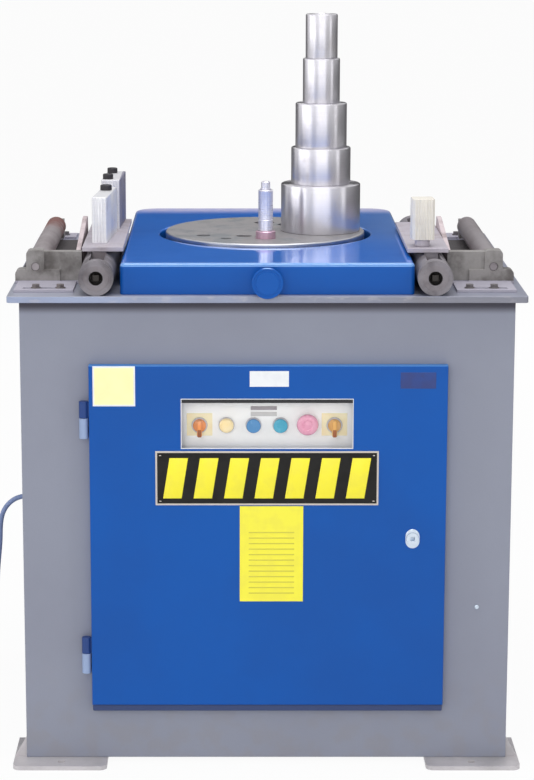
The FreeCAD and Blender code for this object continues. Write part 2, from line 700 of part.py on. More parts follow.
def bracket_foot(x0, x1, y0, y1, slot_y):
    foot = slab(x0, x1, y0, y1, TABLE_TOP, TABLE_TOP + BRACKET_FOOT_T)
    return foot.cut(slab(x0 + 15, x1 - 15, slot_y - 7, slot_y + 7, TABLE_TOP - 1, TABLE_TOP + BRACKET_FOOT_T + 1))


# Cast brackets for the bar rollers: a stepped one with an arm in front and a low one at the back
def front_bracket():
    y0 = FRONT + BRACKET_FROM
    y1 = y0 + BRACKET_T
    step, crown = TABLE_TOP + 27, TABLE_TOP + 63
    base = slab(378, BRACKET_OUTER_X, y0, y1, TABLE_TOP, step)
    base = base.makeFillet(9, [e for e in base.Edges if abs(e.CenterOfMass.z - step) < 0.01
                               and abs(e.CenterOfMass.x - BRACKET_OUTER_X) < 0.01])
    boss = slab(ROLLER_X - 17, ROLLER_X + 17, y0, y1, TABLE_TOP, crown)
    boss = boss.makeFillet(8, [e for e in boss.Edges if abs(e.CenterOfMass.z - crown) < 0.01
                               and abs(e.CenterOfMass.y - (y0 + y1) / 2) < 0.01])
    arm = slab(337, ROLLER_X, y0 + 4, y1 - 4, TABLE_TOP, TABLE_TOP + 60)
    foot = bracket_foot(347, 456, y0 - 100, y0, FRONT_BOLT_Y)
    return fuse([base, boss, arm, foot]).cut(rod(ROLLER_X, TUBE_Z, y0 - 1, y1 + 1, 8 + RUN_FIT))


def rear_bracket():
    y0 = FRONT + REAR_BRACKET_FROM
    y1 = y0 + BRACKET_T
    boss = slab(ROLLER_X - 15, ROLLER_X + 15, y0, y1, TABLE_TOP, TABLE_TOP + 44)
    foot = bracket_foot(385, 456, y1, y1 + 60, y1 + 30)
    return fuse([boss, foot]).cut(rod(ROLLER_X, TUBE_Z, y0 - 1, y1 + 1, 8 + RUN_FIT))


def roller_brackets():
    right = [front_bracket(), rear_bracket()]
    return Part.makeCompound(right + [on_left(bracket, ROLLER_SHIFT) for bracket in right])


def bar_roller():
    y0 = FRONT + BRACKET_FROM + BRACKET_T
    y1 = FRONT + REAR_BRACKET_FROM
    tube = rod(ROLLER_X, TUBE_Z, y0 + 1.5, y1 - 1.5, ROLLER_R)
    axle = rod(ROLLER_X, TUBE_Z, y0 - BRACKET_T + 2, y1 + BRACKET_T - 2, 8)
    return fuse([tube, axle])


# Upright cheeks between slide and roller: low rail with a ramp that rises to the back
def bar_cheeks():
    y0 = FRONT + BRACKET_FROM + BRACKET_T
    y1 = FRONT + REAR_BRACKET_FROM
    crest = y0 + 215
    side = [(y0, TABLE_TOP), (y1, TABLE_TOP), (y1, TABLE_TOP + 30), (crest + 45, TABLE_TOP + 30),
            (crest + 20, TABLE_TOP + 92), (crest, TABLE_TOP + 92), (y0, TABLE_TOP + 58)]
    return Part.makeCompound([prism_x(side, 336.5, 345.5), prism_x(side, -357, -348)])


def hexagon(x, y, z0, z1, across):
    return prism_z([(x + dx, y + dy) for dx, dy in
                    [polar(across / math.sqrt(3), 60 * k + 30) for k in range(6)]], z0, z1)


# Hexagon bolts: bracket feet to the table, and the rear cover to the cabinet
def fasteners():
    solids = []
    washer_z = TABLE_TOP + BRACKET_FOOT_T
    rear_y = FRONT + REAR_BRACKET_FROM + BRACKET_T + 30
    places = [(372, FRONT_BOLT_Y), (417, FRONT_BOLT_Y), (408, rear_y), (433, rear_y)]
    places += [(-x - ROLLER_SHIFT, y) for x, y in places]
    for x, y in places:
        shank = post(x, y, TABLE_TOP, washer_z, 5)
        washer = post(x, y, washer_z, washer_z + 1.5, 9)
        solids.append(fuse([shank, washer, hexagon(x, y, washer_z + 1.5, washer_z + 7, 13)]))
    for x in (-275, 0, 275):
        for z in (180, 710):
            solids.append(rod(x, z, BACK + 2, BACK + 7, 6))
    return Part.makeCompound(solids)


# Loose tooling: stacked mandrels on one socket, bending pin with a turning sleeve on another
def mandrel(k):
    z0 = MANDREL_TOPS[k - 1] if k else DISC_TOP
    z1 = MANDREL_TOPS[k]
    radius = MANDREL_RADII[k]
    body = post(SOCKET_RING_R, 0, z0, z1, radius)
    ends = [e for e in body.Edges if len(e.Vertexes) == 1]
    body = body.makeChamfer(1.2, ends)
    spigot_r = SOCKET_R if k == 0 else 15.0
    spigot_l = DISC_T if k == 0 else 20.0
    spigot = post(SOCKET_RING_R, 0, z0 - spigot_l, z0, spigot_r - RUN_FIT)
    bore = post(SOCKET_RING_R, 0, z1 - 30, z1 + 1, 15)
    return fuse([body, spigot]).cut(bore)


def bending_pin():
    y = -SOCKET_RING_R
    collar = post(0, y, DISC_TOP, DISC_TOP + 14, 19)
    core = post(0, y, DISC_TOP + 14, PIN_TOP, 8.7)
    core = core.makeChamfer(1.5, [e for e in core.Edges if abs(e.CenterOfMass.z - PIN_TOP) < 0.01])
    spigot = post(0, y, DISC_BOTTOM, DISC_TOP, SOCKET_R - RUN_FIT)
    return fuse([collar, core, spigot])


def pin_sleeve():
    y = -SOCKET_RING_R
    return ring(0, y, DISC_TOP + 14.3, PIN_TOP - 16, PIN_R, 8.7 + RUN_FIT)


# Supply cord
def cord_gland():
    wall = -BODY_W / 2
    axis = Vector(-1, 0, 0)
    nut = Part.makeCylinder(13, 8, Vector(wall, CORD_Y, CORD_Z), axis)
    relief = Part.makeCone(10, 6.5, RELIEF_L - 8, Vector(wall - 8, CORD_Y, CORD_Z), axis)
    thread = Part.makeCylinder(8, SHEET + 6, Vector(wall + SHEET + 6, CORD_Y, CORD_Z), axis)
    lock_nut = Part.makeCylinder(12, 5, Vector(wall + SHEET + 5, CORD_Y, CORD_Z), axis)
    return fuse([nut, relief, thread, lock_nut])


def coil_end_radius():
    return COIL_MIDDLE_R + COIL_TURNS / 4 * COIL_PITCH


COIL_Y = CORD_Y + coil_end_radius()

# The free route from the gland to the start of the coil, chosen by hand
CORD_ROUTE = (
    (-476.0, 108.0, 392.0),
    (-498.0, 108.0, 391.5),
    (-521.2, 108.0, 379.7),
    (-536.8, 108.2, 358.9),
    (-542.6, 108.5, 331.5),
    (-543.2, 109.0, 296.5),
    (-549.8, 110.0, 237.0),
    (-556.5, 110.5, 149.6),
    (-562.5, 109.5, 80.0),
    (-575.0, 108.6, 40.0),
    (-598.0, 108.2, 15.0),
    (-628.0, 108.0, 6.6),
)


def tail_start():
    radius = coil_end_radius()
    turned = -90.0 - 360.0 * COIL_TURNS
    x, y = polar(radius, turned)
    return COIL_X + x, COIL_Y + y


def tail_route():
    x, y = tail_start()
    z = COIL_FLOOR + 2 * CORD_R + 0.8
    return (
        (x, y, z),
        (x, y + 34.0, z + 0.3),
        (x + 4.0, y + 70.0, z + 4.0),
        (x + 5.0, y + 106.0, z + 9.0),
        (x + 5.2, y + 134.0, z + 9.5),
    )


# A tube along straight runs joined by tangent arcs; its least radius is printed
def routed_tube(points, name):
    points = [Vector(*p) for p in points]
    radii = []
    edges = []
    start = points[0]
    for before, corner, after in zip(points, points[1:], points[2:]):
        into = corner - before
        out = after - corner
        turn = into.getAngle(out)
        trim = 0.45 * min(into.Length, out.Length)
        radius = trim / math.tan(turn / 2)
        radii.append(radius)
        into.normalize()
        out.normalize()
        arc_from = corner - into * trim
        arc_to = corner + out * trim
        centre_way = (out - into).normalize()
        centre = corner + centre_way * math.hypot(radius, trim)
        middle = centre - centre_way * radius
        edges.append(Part.makeLine(start, arc_from))
        edges.append(Part.Arc(arc_from, middle, arc_to).toShape())
        start = arc_to
    edges.append(Part.makeLine(start, points[-1]))
    path = Part.Wire(edges)
    first = points[1] - points[0]
    profile = Part.Wire(Part.makeCircle(CORD_R, points[0], first))
    tube = path.makePipeShell([profile], True, False)
    section = math.pi * CORD_R ** 2
    print(name, "least radius %.1f" % min(radii), "length %.1f" % path.Length,
          "volume ratio %.4f" % (tube.Volume / (section * path.Length)))
    return tube


# Coil: the spiral runs in on the floor, climbs a layer where it turns back, and runs out again
def coil_point(s):
    half = COIL_TURNS / 2
    radius = COIL_MIDDLE_R + COIL_PITCH * (abs(s - half) - half / 2)
    angle = math.radians(-90.0 - 360.0 * s)
    rise = min(1.0, max(0.0, (s - half + 0.25) / 0.5))
    rise = rise * rise * (3 - 2 * rise)
    z = COIL_FLOOR + rise * (2 * CORD_R + 0.8)
    return Vector(COIL_X + radius * math.cos(angle), COIL_Y + radius * math.sin(angle), z)


def coil_way(s):
    step = 0.0005
    return (coil_point(s + step) - coil_point(s - step)).normalize()


def biarc(p0, t0, p1, t1):
    span = p1 - p0
    sum_t = t0 + t1
    a = 2 * (1 - t0.dot(t1))
    b = 2 * span.dot(sum_t)
    c = -span.dot(span)
    if abs(a) < 1e-9:
        reach = -c / b
    else:
        reach = (-b + math.sqrt(b * b - 4 * a * c)) / (2 * a)
    joint = (p0 + p1 + (t0 - t1) * reach) * 0.5
    return [arc_from_tangent(p0, t0, joint), arc_from_tangent(joint, None, p1, t1)]


def arc_from_tangent(p0, t0, p1, t1=None):
    chord = p1 - p0
    if t0 is None:
        unit = Vector(chord).normalize()
        t0 = unit * (2 * unit.dot(t1)) - t1
    unit = Vector(chord).normalize()
    side = t0 - unit * t0.dot(unit)
    half_angle = math.atan2(side.Length, t0.dot(unit))
    if side.Length < 1e-7:
        return Part.makeLine(p0, p1)
    sagitta = chord.Length / 2 * math.tan(half_angle / 2)
    middle = (p0 + p1) * 0.5 + side.normalize() * sagitta
    return Part.Arc(p0, middle, p1).toShape()


def cord_coil():
    count = int(COIL_TURNS * 4)
    places = [COIL_TURNS * k / count for k in range(count + 1)]
    points = [coil_point(s) for s in places]
    ways = [coil_way(s) for s in places]
    ways[0] = Vector(-1, 0, 0)
    ways[-1] = Vector(0, 1, 0)
    edges = []
    for k in range(count):
        edges += biarc(points[k], ways[k], points[k + 1], ways[k + 1])
    lead_in = Vector(CORD_ROUTE[-1][0], CORD_ROUTE[-1][1], points[0].z)
    edges = [Part.makeLine(lead_in, points[0])] + edges
    path = Part.Wire(edges)
    profile = Part.Wire(Part.makeCircle(CORD_R, lead_in, Vector(-1, 0, 0)))
    coil = path.makePipeShell([profile], True, False)
    print_coil_gap()
    print("coil length %.1f" % path.Length,
          "volume ratio %.4f" % (coil.Volume / (math.pi * CORD_R ** 2 * path.Length)))
    return coil


def print_coil_gap():
    steps = 36
    total = int(COIL_TURNS * steps)
    samples = [coil_point(COIL_TURNS * k / total) for k in range(total + 1)]
    least = min((samples[i] - samples[j]).Length
                for i in range(total) for j in range(i + steps // 2, total))
    print("coil least gap %.2f" % (least - 2 * CORD_R))


# Five-pin plug at the end of the cord, lying on the floor
def plug():
    x, y, z = tail_route()[-1]
    axis = Vector(0, 1, 0)
    body_r = z - 0.4
    sleeve = Part.makeCone(8, 14, 22, Vector(x, y, z), axis)
    grip = Part.makeCone(15, body_r - 3, 30, Vector(x, y + 22, z), axis)
    body = Part.makeCylinder(body_r, 42, Vector(x, y + 52, z), axis)
    shroud = Part.makeCylinder(body_r - 3, 34, Vector(x, y + 94, z), axis)
    hollow = Part.makeCylinder(body_r - 5.5, 30, Vector(x, y + 99, z), axis)
    pins = [Part.makeCylinder(2.5, 27, Vector(x + dx, y + 97, z + dz), axis)
            for dx, dz in [polar(11, 72 * k + 90) for k in range(5)]]
    return fuse([fuse([sleeve, grip, body, shroud]).cut(hollow)] + pins)


def build():
    parts = {
        "cabinet_shell": cabinet_shell(),
        "foot_plates": foot_plates(),
        "top_plate": top_plate(),
        "bed_cover": bed_cover(),
        "front_cap": front_cap(),
        "gearbox_housing": gearbox_housing(),
        "gearbox_lid": gearbox_lid(),
        "disc_bearing_housing": disc_bearing_housing(),
        "bearings": bearings(),
        "bending_disc": bending_disc(),
        "main_shaft": main_shaft(),
        "main_gear": main_gear(),
        "layshaft": layshaft(),
        "input_shaft": input_shaft(),
        "driven_pulley": driven_pulley(),
        "motor_hanger": motor_hanger(),
        "motor_body": motor_body(),
        "motor_shaft": motor_shaft(),
        "drive_belts": drive_belts(),
        "limit_switches": limit_switches(),
        "electric_box": electric_box(),
        "contactors": contactors(),
        "control_panel": control_panel(),
        "control_collars": control_collars(),
        "selector_left": selector(0),
        "button_blue": push_button(2),
        "button_teal": push_button(3),
        "emergency_button": emergency_button(),
        "selector_right": selector(5),
        "door": door(),
        "door_knuckles": door_knuckles(),
        "hinge_posts": hinge_posts(),
        "door_plates": door_plates(),
        "lock_insert": lock_insert(),
        "rear_cover": rear_cover(),
        "guide_tubes": guide_tubes(),
        "feed_screw_left": on_left(feed_screw(), SLIDE_SHIFT),
        "feed_screw_right": feed_screw(),
        "slide_left": slide(LEFT_PLATE_Y, LEFT_PEGS, True),
        "slide_right": slide(RIGHT_PLATE_Y, RIGHT_PEGS, False),
        "block_left_front": contrast_block(-306.5, 28, 165, 86, ((-1, 34, 11),), -4, LEFT_PEGS[0], 20),
        "block_left_rear": contrast_block(-298, 36, 150, 96, ((-6, -56, 10), (-6, 46, 10)), -2,
                                          LEFT_PEGS[1], 7),
        "block_right": right_block(RIGHT_PEGS[0]),
        "roller_brackets": roller_brackets(),
        "bar_roller_left": on_left(bar_roller(), ROLLER_SHIFT),
        "bar_roller_right": bar_roller(),
        "bar_cheeks": bar_cheeks(),
        "fasteners": fasteners(),
        "bending_pin": bending_pin(),
        "pin_sleeve": pin_sleeve(),
        "cord_gland": cord_gland(),
        "power_cord": routed_tube(CORD_ROUTE, "power_cord"),
        "cord_coil": cord_coil(),
        "cord_tail": routed_tube(tail_route(), "cord_tail"),
        "cord_plug": plug(),
    }
    for k in range(len(MANDREL_RADII)):
        parts["mandrel_%d" % (k + 1)] = mandrel(k)
    return parts


os.makedirs("parts", exist_ok=True)
PARTS = build()
print(len(PARTS), "parts")
for node, shape in PARTS.items():
    shape.exportStep("parts/%s.step" % node)
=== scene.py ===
import json
import math

import bmesh
import bpy
from mathutils import Matrix, Vector


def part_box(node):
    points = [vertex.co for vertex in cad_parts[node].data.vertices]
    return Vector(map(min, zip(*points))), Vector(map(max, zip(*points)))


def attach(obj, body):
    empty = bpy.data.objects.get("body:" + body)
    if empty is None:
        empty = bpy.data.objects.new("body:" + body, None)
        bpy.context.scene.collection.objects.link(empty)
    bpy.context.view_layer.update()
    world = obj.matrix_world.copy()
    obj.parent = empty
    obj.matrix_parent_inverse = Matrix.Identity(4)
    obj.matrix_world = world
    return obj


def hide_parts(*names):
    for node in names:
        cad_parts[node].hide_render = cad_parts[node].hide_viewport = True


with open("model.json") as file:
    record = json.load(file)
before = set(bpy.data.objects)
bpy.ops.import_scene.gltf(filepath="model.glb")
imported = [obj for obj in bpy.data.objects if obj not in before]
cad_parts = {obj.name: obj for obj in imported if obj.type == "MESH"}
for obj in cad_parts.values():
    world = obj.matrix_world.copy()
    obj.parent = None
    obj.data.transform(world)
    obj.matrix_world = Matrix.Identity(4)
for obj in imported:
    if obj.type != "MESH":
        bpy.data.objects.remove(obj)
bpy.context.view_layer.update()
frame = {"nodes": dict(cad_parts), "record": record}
cad = frame["nodes"]
behaviour = frame["record"]["behaviour"]
body_of_node = {node: body for body, nodes in behaviour["bodies"].items() for node in nodes}
scene = bpy.context.scene

# Camera, lamps and backdrop. The machine is photographed from the front and a little from above,
# with a long lens, in even light on white. A ring of pale and dark panels gives the steel its streaks.
scene.view_settings.view_transform = "Standard"
camera_data = bpy.data.cameras.new("camera")
camera_data.sensor_width = 36.0
camera_data.lens = 114.468
camera_data.shift_x = 0.03984
camera_data.clip_end = 300.0
camera = bpy.data.objects.new("camera", camera_data)
camera.location = (-0.0571, -4.8423, 1.6337)
camera.rotation_euler = (math.pi / 2 - 0.2033, 0.0, 0.0)
scene.collection.objects.link(camera)
scene.camera = camera


def softbox(name, place, aim, width, height, power, mirrored=False):
    lamp_data = bpy.data.lights.new(name, "AREA")
    lamp_data.shape = "RECTANGLE"
    lamp_data.size = width
    lamp_data.size_y = height
    lamp_data.energy = power
    lamp = bpy.data.objects.new(name, lamp_data)
    lamp.location = place
    lamp.rotation_euler = (Vector(aim) - Vector(place)).to_track_quat("-Z", "Y").to_euler()
    lamp.visible_glossy = mirrored
    scene.collection.objects.link(lamp)


softbox("front_softbox", (-1.3, -4.4, 2.6), (0, 0, 0.7), 1.6, 2.2, 37)
softbox("low_softbox", (0.1, -4.6, 0.75), (0, 0, 0.65), 1.4, 1.0, 18)
softbox("top_softbox", (0.2, -0.6, 4.0), (0, 0, 0.8), 2.6, 1.6, 66, True)
softbox("left_strip", (-3.6, -1.4, 1.7), (0, 0, 0.9), 0.5, 2.4, 26)
softbox("right_strip", (3.4, -2.2, 1.6), (0, 0, 0.9), 0.5, 2.4, 22)
softbox("rear_softbox", (1.2, 4.6, 2.4), (0, 0, 0.8), 2.0, 2.0, 50)


class Socket:
    """A socket of a material's nodes. Arithmetic on it adds Math nodes."""

    def __init__(self, socket):
        self.socket = socket

    def node(self, kind, settings=None, inputs=None, output=0):
        """Another node of the same tree. The stops of a ramp are pairs of place and colour."""
        tree = self.socket.id_data
        made = tree.nodes.new(kind)
        for key, value in (settings or {}).items():
            if key == "stops":
                ramp = made.color_ramp
                while len(ramp.elements) > 1:
                    ramp.elements.remove(ramp.elements[-1])
                ramp.elements[0].position, ramp.elements[0].color = value[0]
                for place, colour in value[1:]:
                    ramp.elements.new(place).color = colour
            else:
                setattr(made, key, value)
        for key, value in (inputs or {}).items():
            if isinstance(value, Socket):
                tree.links.new(value.socket, made.inputs[key])
            else:
                made.inputs[key].default_value = value
        return Socket(made.outputs[output])

    def math(self, operation, first, second):
        return self.node("ShaderNodeMath", {"operation": operation}, {0: first, 1: second})

    def __add__(self, other):
        return self.math("ADD", self, other)

    def __sub__(self, other):
        return self.math("SUBTRACT", self, other)

    def __rsub__(self, other):
        return self.math("SUBTRACT", other, self)

    def __mul__(self, other):
        return self.math("MULTIPLY", self, other)

    __radd__ = __add__
    __rmul__ = __mul__

    def between(self, low, high):
        """0 below low, 1 above high, and smooth between them."""
        return self.node("ShaderNodeMapRange", {"interpolation_type": "SMOOTHSTEP"},
                         {"Value": self, "From Min": low, "From Max": high})

    def blend(self, first, second):
        """The first colour where this is 0, and the second where it is 1."""
        return self.node("ShaderNodeMix", {"data_type": "RGBA"}, {0: self, 6: first, 7: second}, 2)

    def noise(self, scale, detail=3.0, roughness=0.5):
        return self.node("ShaderNodeTexNoise", None,
                         {"Vector": self, "Scale": scale, "Detail": detail, "Roughness": roughness})

    def stretched(self, x, y, z):
        return self.node("ShaderNodeVectorMath", {"operation": "MULTIPLY"}, {0: self, 1: (x, y, z)})

    def along(self, axis):
        return self.node("ShaderNodeSeparateXYZ", None, {0: self}, axis)

    def relief(self, strength, depth):
        return self.node("ShaderNodeBump", None,
                         {"Strength": strength, "Distance": depth, "Height": self})


def begin_finish(name, **fixed):
    """A material, its shader with the values that are the same all over, and the object's point."""
    material = bpy.data.materials.new(name)
    material.use_nodes = True
    shader = material.node_tree.nodes["Principled BSDF"]
    for key, value in fixed.items():
        shader.inputs[key.replace("_", " ").title().replace("Ior", "IOR")].default_value = value
    point = material.node_tree.nodes.new("ShaderNodeTexCoord").outputs["Object"]
    return material, shader, Socket(point)


def feed(shader, **values):
    for key, value in values.items():
        shader.id_data.links.new(value.socket, shader.inputs[key.replace("_", " ").title()])


world = bpy.data.worlds.new("studio")
scene.world = world
world.use_nodes = True
backdrop_light = world.node_tree.nodes["Background"]
backdrop_light.inputs["Color"].default_value = (1.0, 1.0, 1.0, 1.0)
seen = Socket(world.node_tree.nodes.new("ShaderNodeLightPath").outputs["Is Camera Ray"])
for kind in ("Is Transmission Ray", "Is Glossy Ray"):
    seen = seen.math("MAXIMUM", seen, seen.node("ShaderNodeLightPath", output=kind))
feed(backdrop_light, strength=seen * 0.5 + 0.5)


def stage_piece(name, corners, faces, material):
    mesh = bpy.data.meshes.new(name)
    mesh.from_pydata(corners, [], faces)
    mesh.materials.append(material)
    piece = bpy.data.objects.new(name, mesh)
    scene.collection.objects.link(piece)
    return piece


floor_finish, floor_shader, point = begin_finish("pale_floor", base_color=(0.8, 0.8, 0.81, 1.0),
                                                 roughness=0.7)
floor_paper = Socket(floor_shader.outputs["BSDF"])
floor_white = point.node("ShaderNodeEmission")
floor_seen = point.node("ShaderNodeLightPath", output="Is Camera Ray")
floor_mirrored = point.node("ShaderNodeLightPath", output="Is Glossy Ray")
white_share = floor_seen.math("MAXIMUM", floor_seen, floor_mirrored) * 0.94
floor_mix = point.node("ShaderNodeMixShader", None, {0: white_share, 1: floor_paper, 2: floor_white})
feed(floor_finish.node_tree.nodes["Material Output"], surface=floor_mix)
FLOOR_REACH = 120.0
floor_corners = [(x * FLOOR_REACH, y * FLOOR_REACH, 0.0) for x, y in ((-1, -1), (1, -1), (1, 1), (-1, 1))]
stage_piece("studio_floor", floor_corners, [(0, 1, 2, 3)], floor_finish)

# The ring's panels are pairs of heading in degrees and light, seen low and high on the ring.
PANEL_LIGHT = 6.0
low_panels = [(-180, 0.15), (-165, 0.15), (-160, 0.2), (-128, 0.2), (-123, 0.62), (-71, 0.62),
              (-67, 1.1), (-44, 1.1), (-40, 0.5), (-22, 0.5), (-18, 0.95), (24, 0.95), (30, 0.38),
              (62, 0.38), (65, 1.0), (72, 1.0), (76, 0.2), (165, 0.12), (180, 0.15)]
high_panels = [(-180, 0.02), (-172, 0.02), (-160, 0.1), (-128, 0.2), (-123, 1.2), (-99, 1.2), (-93, 4.4),
               (-49, 4.4), (-43, 2.0), (-22, 1.4), (-18, 3.0), (24, 3.0), (30, 0.8), (60, 0.8),
               (63, 2.2), (72, 2.2), (76, 0.2), (135, 0.15), (165, 0.1), (174, 0.03), (180, 0.02)]
wall_finish, wall_shader, point = begin_finish("panel_ring", base_color=(0.0, 0.0, 0.0, 1.0),
                                               specular_ior_level=0.0, emission_strength=PANEL_LIGHT)
heading = point.math("ARCTAN2", point.along(0), point.along(1) * -1.0) * (0.5 / math.pi) + 0.5


def panel_ramp(panels):
    stops = [((place + 180) / 360, (*[light / PANEL_LIGHT] * 3, 1.0)) for place, light in panels]
    return heading.node("ShaderNodeValToRGB", {"stops": stops}, {0: heading})


high_up = point.along(2).between(1.28, 1.34)
feed(wall_shader, emission_color=high_up.blend(panel_ramp(low_panels), panel_ramp(high_panels)))
WALL_SIDES = 96
WALL_RADIUS = 3.2
WALL_HEIGHT = 2.1
wall_corners = []
wall_faces = []
for k in range(WALL_SIDES):
    turn = 2 * math.pi * k / WALL_SIDES
    x, y = WALL_RADIUS * math.cos(turn), WALL_RADIUS * math.sin(turn)
    wall_corners += [(x, y, 0.0), (x, y, WALL_HEIGHT)]
    first, second = 2 * k, 2 * ((k + 1) % WALL_SIDES)
    wall_faces.append((first, second, second + 1, first + 1))
studio_wall = stage_piece("studio_wall", wall_corners, wall_faces, wall_finish)
studio_wall.visible_camera = False
studio_wall.visible_diffuse = False
studio_wall.visible_shadow = False

# Cabinet: 3 mm steel sheet, folded and welded into one shell, open at the front behind the door
# and at the back behind a cover. It is sprayed in satin grey enamel, with a band of painted shade
# right under the table.


def ink(red, green, blue):
    """A colour given in screen numbers from 0 to 255, made linear."""
    shares = [value / 255 for value in (red, green, blue)]
    return (*[s / 12.92 if s <= 0.04045 else ((s + 0.055) / 1.055) ** 2.4 for s in shares], 1.0)


def enamel(name, colour, worn, roughness, coat, peel, under_table_shade=0.0):
    """Sprayed paint: clouds in the colour, orange peel, dust near the floor, painted shade under the table.
    """
    material, shader, point = begin_finish(name, coat_weight=coat, coat_roughness=0.06,
                                           specular_ior_level=0.35)
    clouds = point.noise(2.6, 5.0, 0.6).between(0.38, 0.66)
    dust = (1 - point.along(2).between(0.0, 0.24)) * point.noise(26.0, 4.0).between(0.42, 0.64)
    base = (clouds * 0.5).blend(colour, worn)
    grime = tuple(0.55 * a + 0.45 * b for a, b in zip(worn, ink(150, 140, 125)))
    # Painted shade: a dark band on the enamel just below the table's lip, where the table's shadow falls.
    painted_shade_band = point.along(2).between(0.855, 0.8735) * under_table_shade
    feed(shader, base_color=painted_shade_band.blend((dust * 0.35).blend(base, grime), ink(58, 56, 68)),
         roughness=clouds * 0.07 + dust * 0.2 + roughness,
         normal=point.noise(330.0, 2.0).relief(peel, 0.0004))
    return material


def made_mesh(name, sheet, angle=32.0, turn_faces=True):
    """A bmesh as a mesh, its faces turned outwards, smooth but for edges sharper than angle."""
    if turn_faces:
        bmesh.ops.recalc_face_normals(sheet, faces=sheet.faces)
    mesh = bpy.data.meshes.new(name)
    sheet.to_mesh(mesh)
    sheet.free()
    if angle:
        mesh.polygons.foreach_set("use_smooth", [True] * len(mesh.polygons))
        mesh.set_sharp_from_angle(angle=math.radians(angle))
    return mesh


def keep_piece(name, mesh, material, body, stands_for=()):
    piece = bpy.data.objects.new(name, mesh)
    scene.collection.objects.link(piece)
    mesh.materials.clear()
    mesh.materials.append(material)
    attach(piece, body)
    if stands_for:
        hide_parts(*stands_for)
    return piece


def baked_mesh(piece):
    bpy.context.view_layer.update()
    shown = piece.evaluated_get(bpy.context.evaluated_depsgraph_get())
    mesh = bpy.data.meshes.new_from_object(shown)
    piece.modifiers.clear()
    return mesh


def eased(name, node, width, material, segments=2, joined=True):
    """A CAD solid's copy with its sharp edges rounded, standing for that solid. Its flat faces are
    joined first, but for thin folded sheet, whose open bottom that would close."""
    sheet = bmesh.new()
    sheet.from_mesh(cad[node].data)
    bmesh.ops.remove_doubles(sheet, verts=sheet.verts, dist=1e-5)
    if joined:
        bmesh.ops.dissolve_limit(sheet, angle_limit=math.radians(0.6), verts=sheet.verts,
                                 edges=sheet.edges)
    draft = bpy.data.objects.new(name + "_draft", made_mesh(name, sheet, turn_faces=False))
    scene.collection.objects.link(draft)
    rounding = draft.modifiers.new("rounding", "BEVEL")
    rounding.width = width
    rounding.segments = segments
    rounding.limit_method = "ANGLE"
    rounding.angle_limit = math.radians(32.0)
    rounding.miter_outer = "MITER_ARC"
    weighting = draft.modifiers.new("weighting", "WEIGHTED_NORMAL")
    weighting.keep_sharp = True
    rounded = baked_mesh(draft)
    bpy.data.objects.remove(draft)
    return keep_piece(name, rounded, material, body_of_node[node], (node,))


cabinet_enamel = enamel("cabinet_enamel", ink(139, 143, 158), ink(132, 135, 150), 0.44, 0.05, 0.25, 0.97)
eased("cabinet_sheet_shell", "cabinet_shell", 0.0014, cabinet_enamel, 3, joined=False)

# Feet: thick plates welded under the corners, each with an anchor hole and a gusset. They are
# sprayed with zinc paint, which is scuffed and dull.


def sprayed_zinc(name, colour, dark):
    material, shader, point = begin_finish(name, metallic=0.35)
    spangle = point.noise(48.0, 6.0, 0.65)
    stain = point.noise(9.0, 4.0).between(0.45, 0.7)
    feed(shader, base_color=(stain * 0.5 + spangle * 0.25).blend(colour, dark),
         roughness=spangle * 0.25 + 0.38,
         normal=spangle.relief(0.25, 0.0006))
    return material


foot_zinc = sprayed_zinc("foot_zinc", ink(203, 199, 202), ink(150, 148, 150))
eased("foot_plates_cut", "foot_plates", 0.0012, foot_zinc)

# Table plate: 12 mm steel, wider than the cabinet all round and bolted down on its flange. It is
# grey like the cabinet, with painted light: paler at the left edge and painted darker towards the right
# one, which is also rubbed dull where bars land, and its front lip painted in lit tones of its own.
table_enamel, table_shader, point = begin_finish("table_enamel", coat_weight=0.15, coat_roughness=0.08,
                                                 specular_ior_level=0.4)
# Painted light: the colour runs from paler at the left to darker at the right; the same mask makes the right
# a little rougher.
shade_and_rub_to_right = point.along(0).between(-0.36, 0.4) * 0.8 + point.noise(9.0, 5.0).between(0.4, 0.7) * 0.2
scuffs = point.stretched(30.0, 160.0, 60.0).noise(1.0, 3.0).between(0.56, 0.7)
TABLE_TOP = 0.893
flat_top = point.along(2).between(TABLE_TOP - 0.0012, TABLE_TOP - 0.0004)
# Painted light: the front lip gets lit and shaded tones of its own, apart from the top.
lip_painted_light = shade_and_rub_to_right.blend(ink(152, 163, 191), ink(119, 117, 122))
base_grey = flat_top.blend(lip_painted_light, shade_and_rub_to_right.blend(ink(152, 155, 170), ink(128, 131, 148)))
feed(table_shader, base_color=(scuffs * 0.3).blend(base_grey, ink(184, 180, 186)),
     roughness=shade_and_rub_to_right * 0.08 + scuffs * 0.1 + 0.32,
     normal=point.noise(330.0, 2.0).relief(0.2, 0.0004))
eased("table_plate", "top_plate", 0.0012, table_enamel)

# Bed cover: a shallow folded box that covers the table round the disc, with a collar rolled down
# round the opening. It has the door's deep blue enamel, flat on upright faces and wet-looking on top.
# Its top is painted a lighter blue than the upright faces, with a painted reflection of the drums at
# the front right and a pale painted reflection along the back, and its front fold and the door's top
# face carry a painted highlight.
COVER_TOP = 0.951
COVER_FRONT = -0.392
DOOR_TOP = 0.765
blue_enamel, blue_shader, point = begin_finish("blue_enamel", specular_ior_level=0.22,
                                               coat_roughness=0.035, coat_ior=1.65)
clouds = point.noise(2.6, 5.0, 0.6).between(0.38, 0.66)
height, depth = point.along(2), point.along(1)
upper_face = height.between(COVER_TOP - 0.0072, COVER_TOP - 0.0058)
# Painted highlights: the rounded front fold of the cover and the door's top face are painted a paler blue.
front_fold_highlight = upper_face * (1 - depth.between(COVER_FRONT + 0.0058, COVER_FRONT + 0.007))
door_top_highlight = height.between(DOOR_TOP - 0.0012, DOOR_TOP - 0.0004) * (1 - height.between(0.8, 0.81))
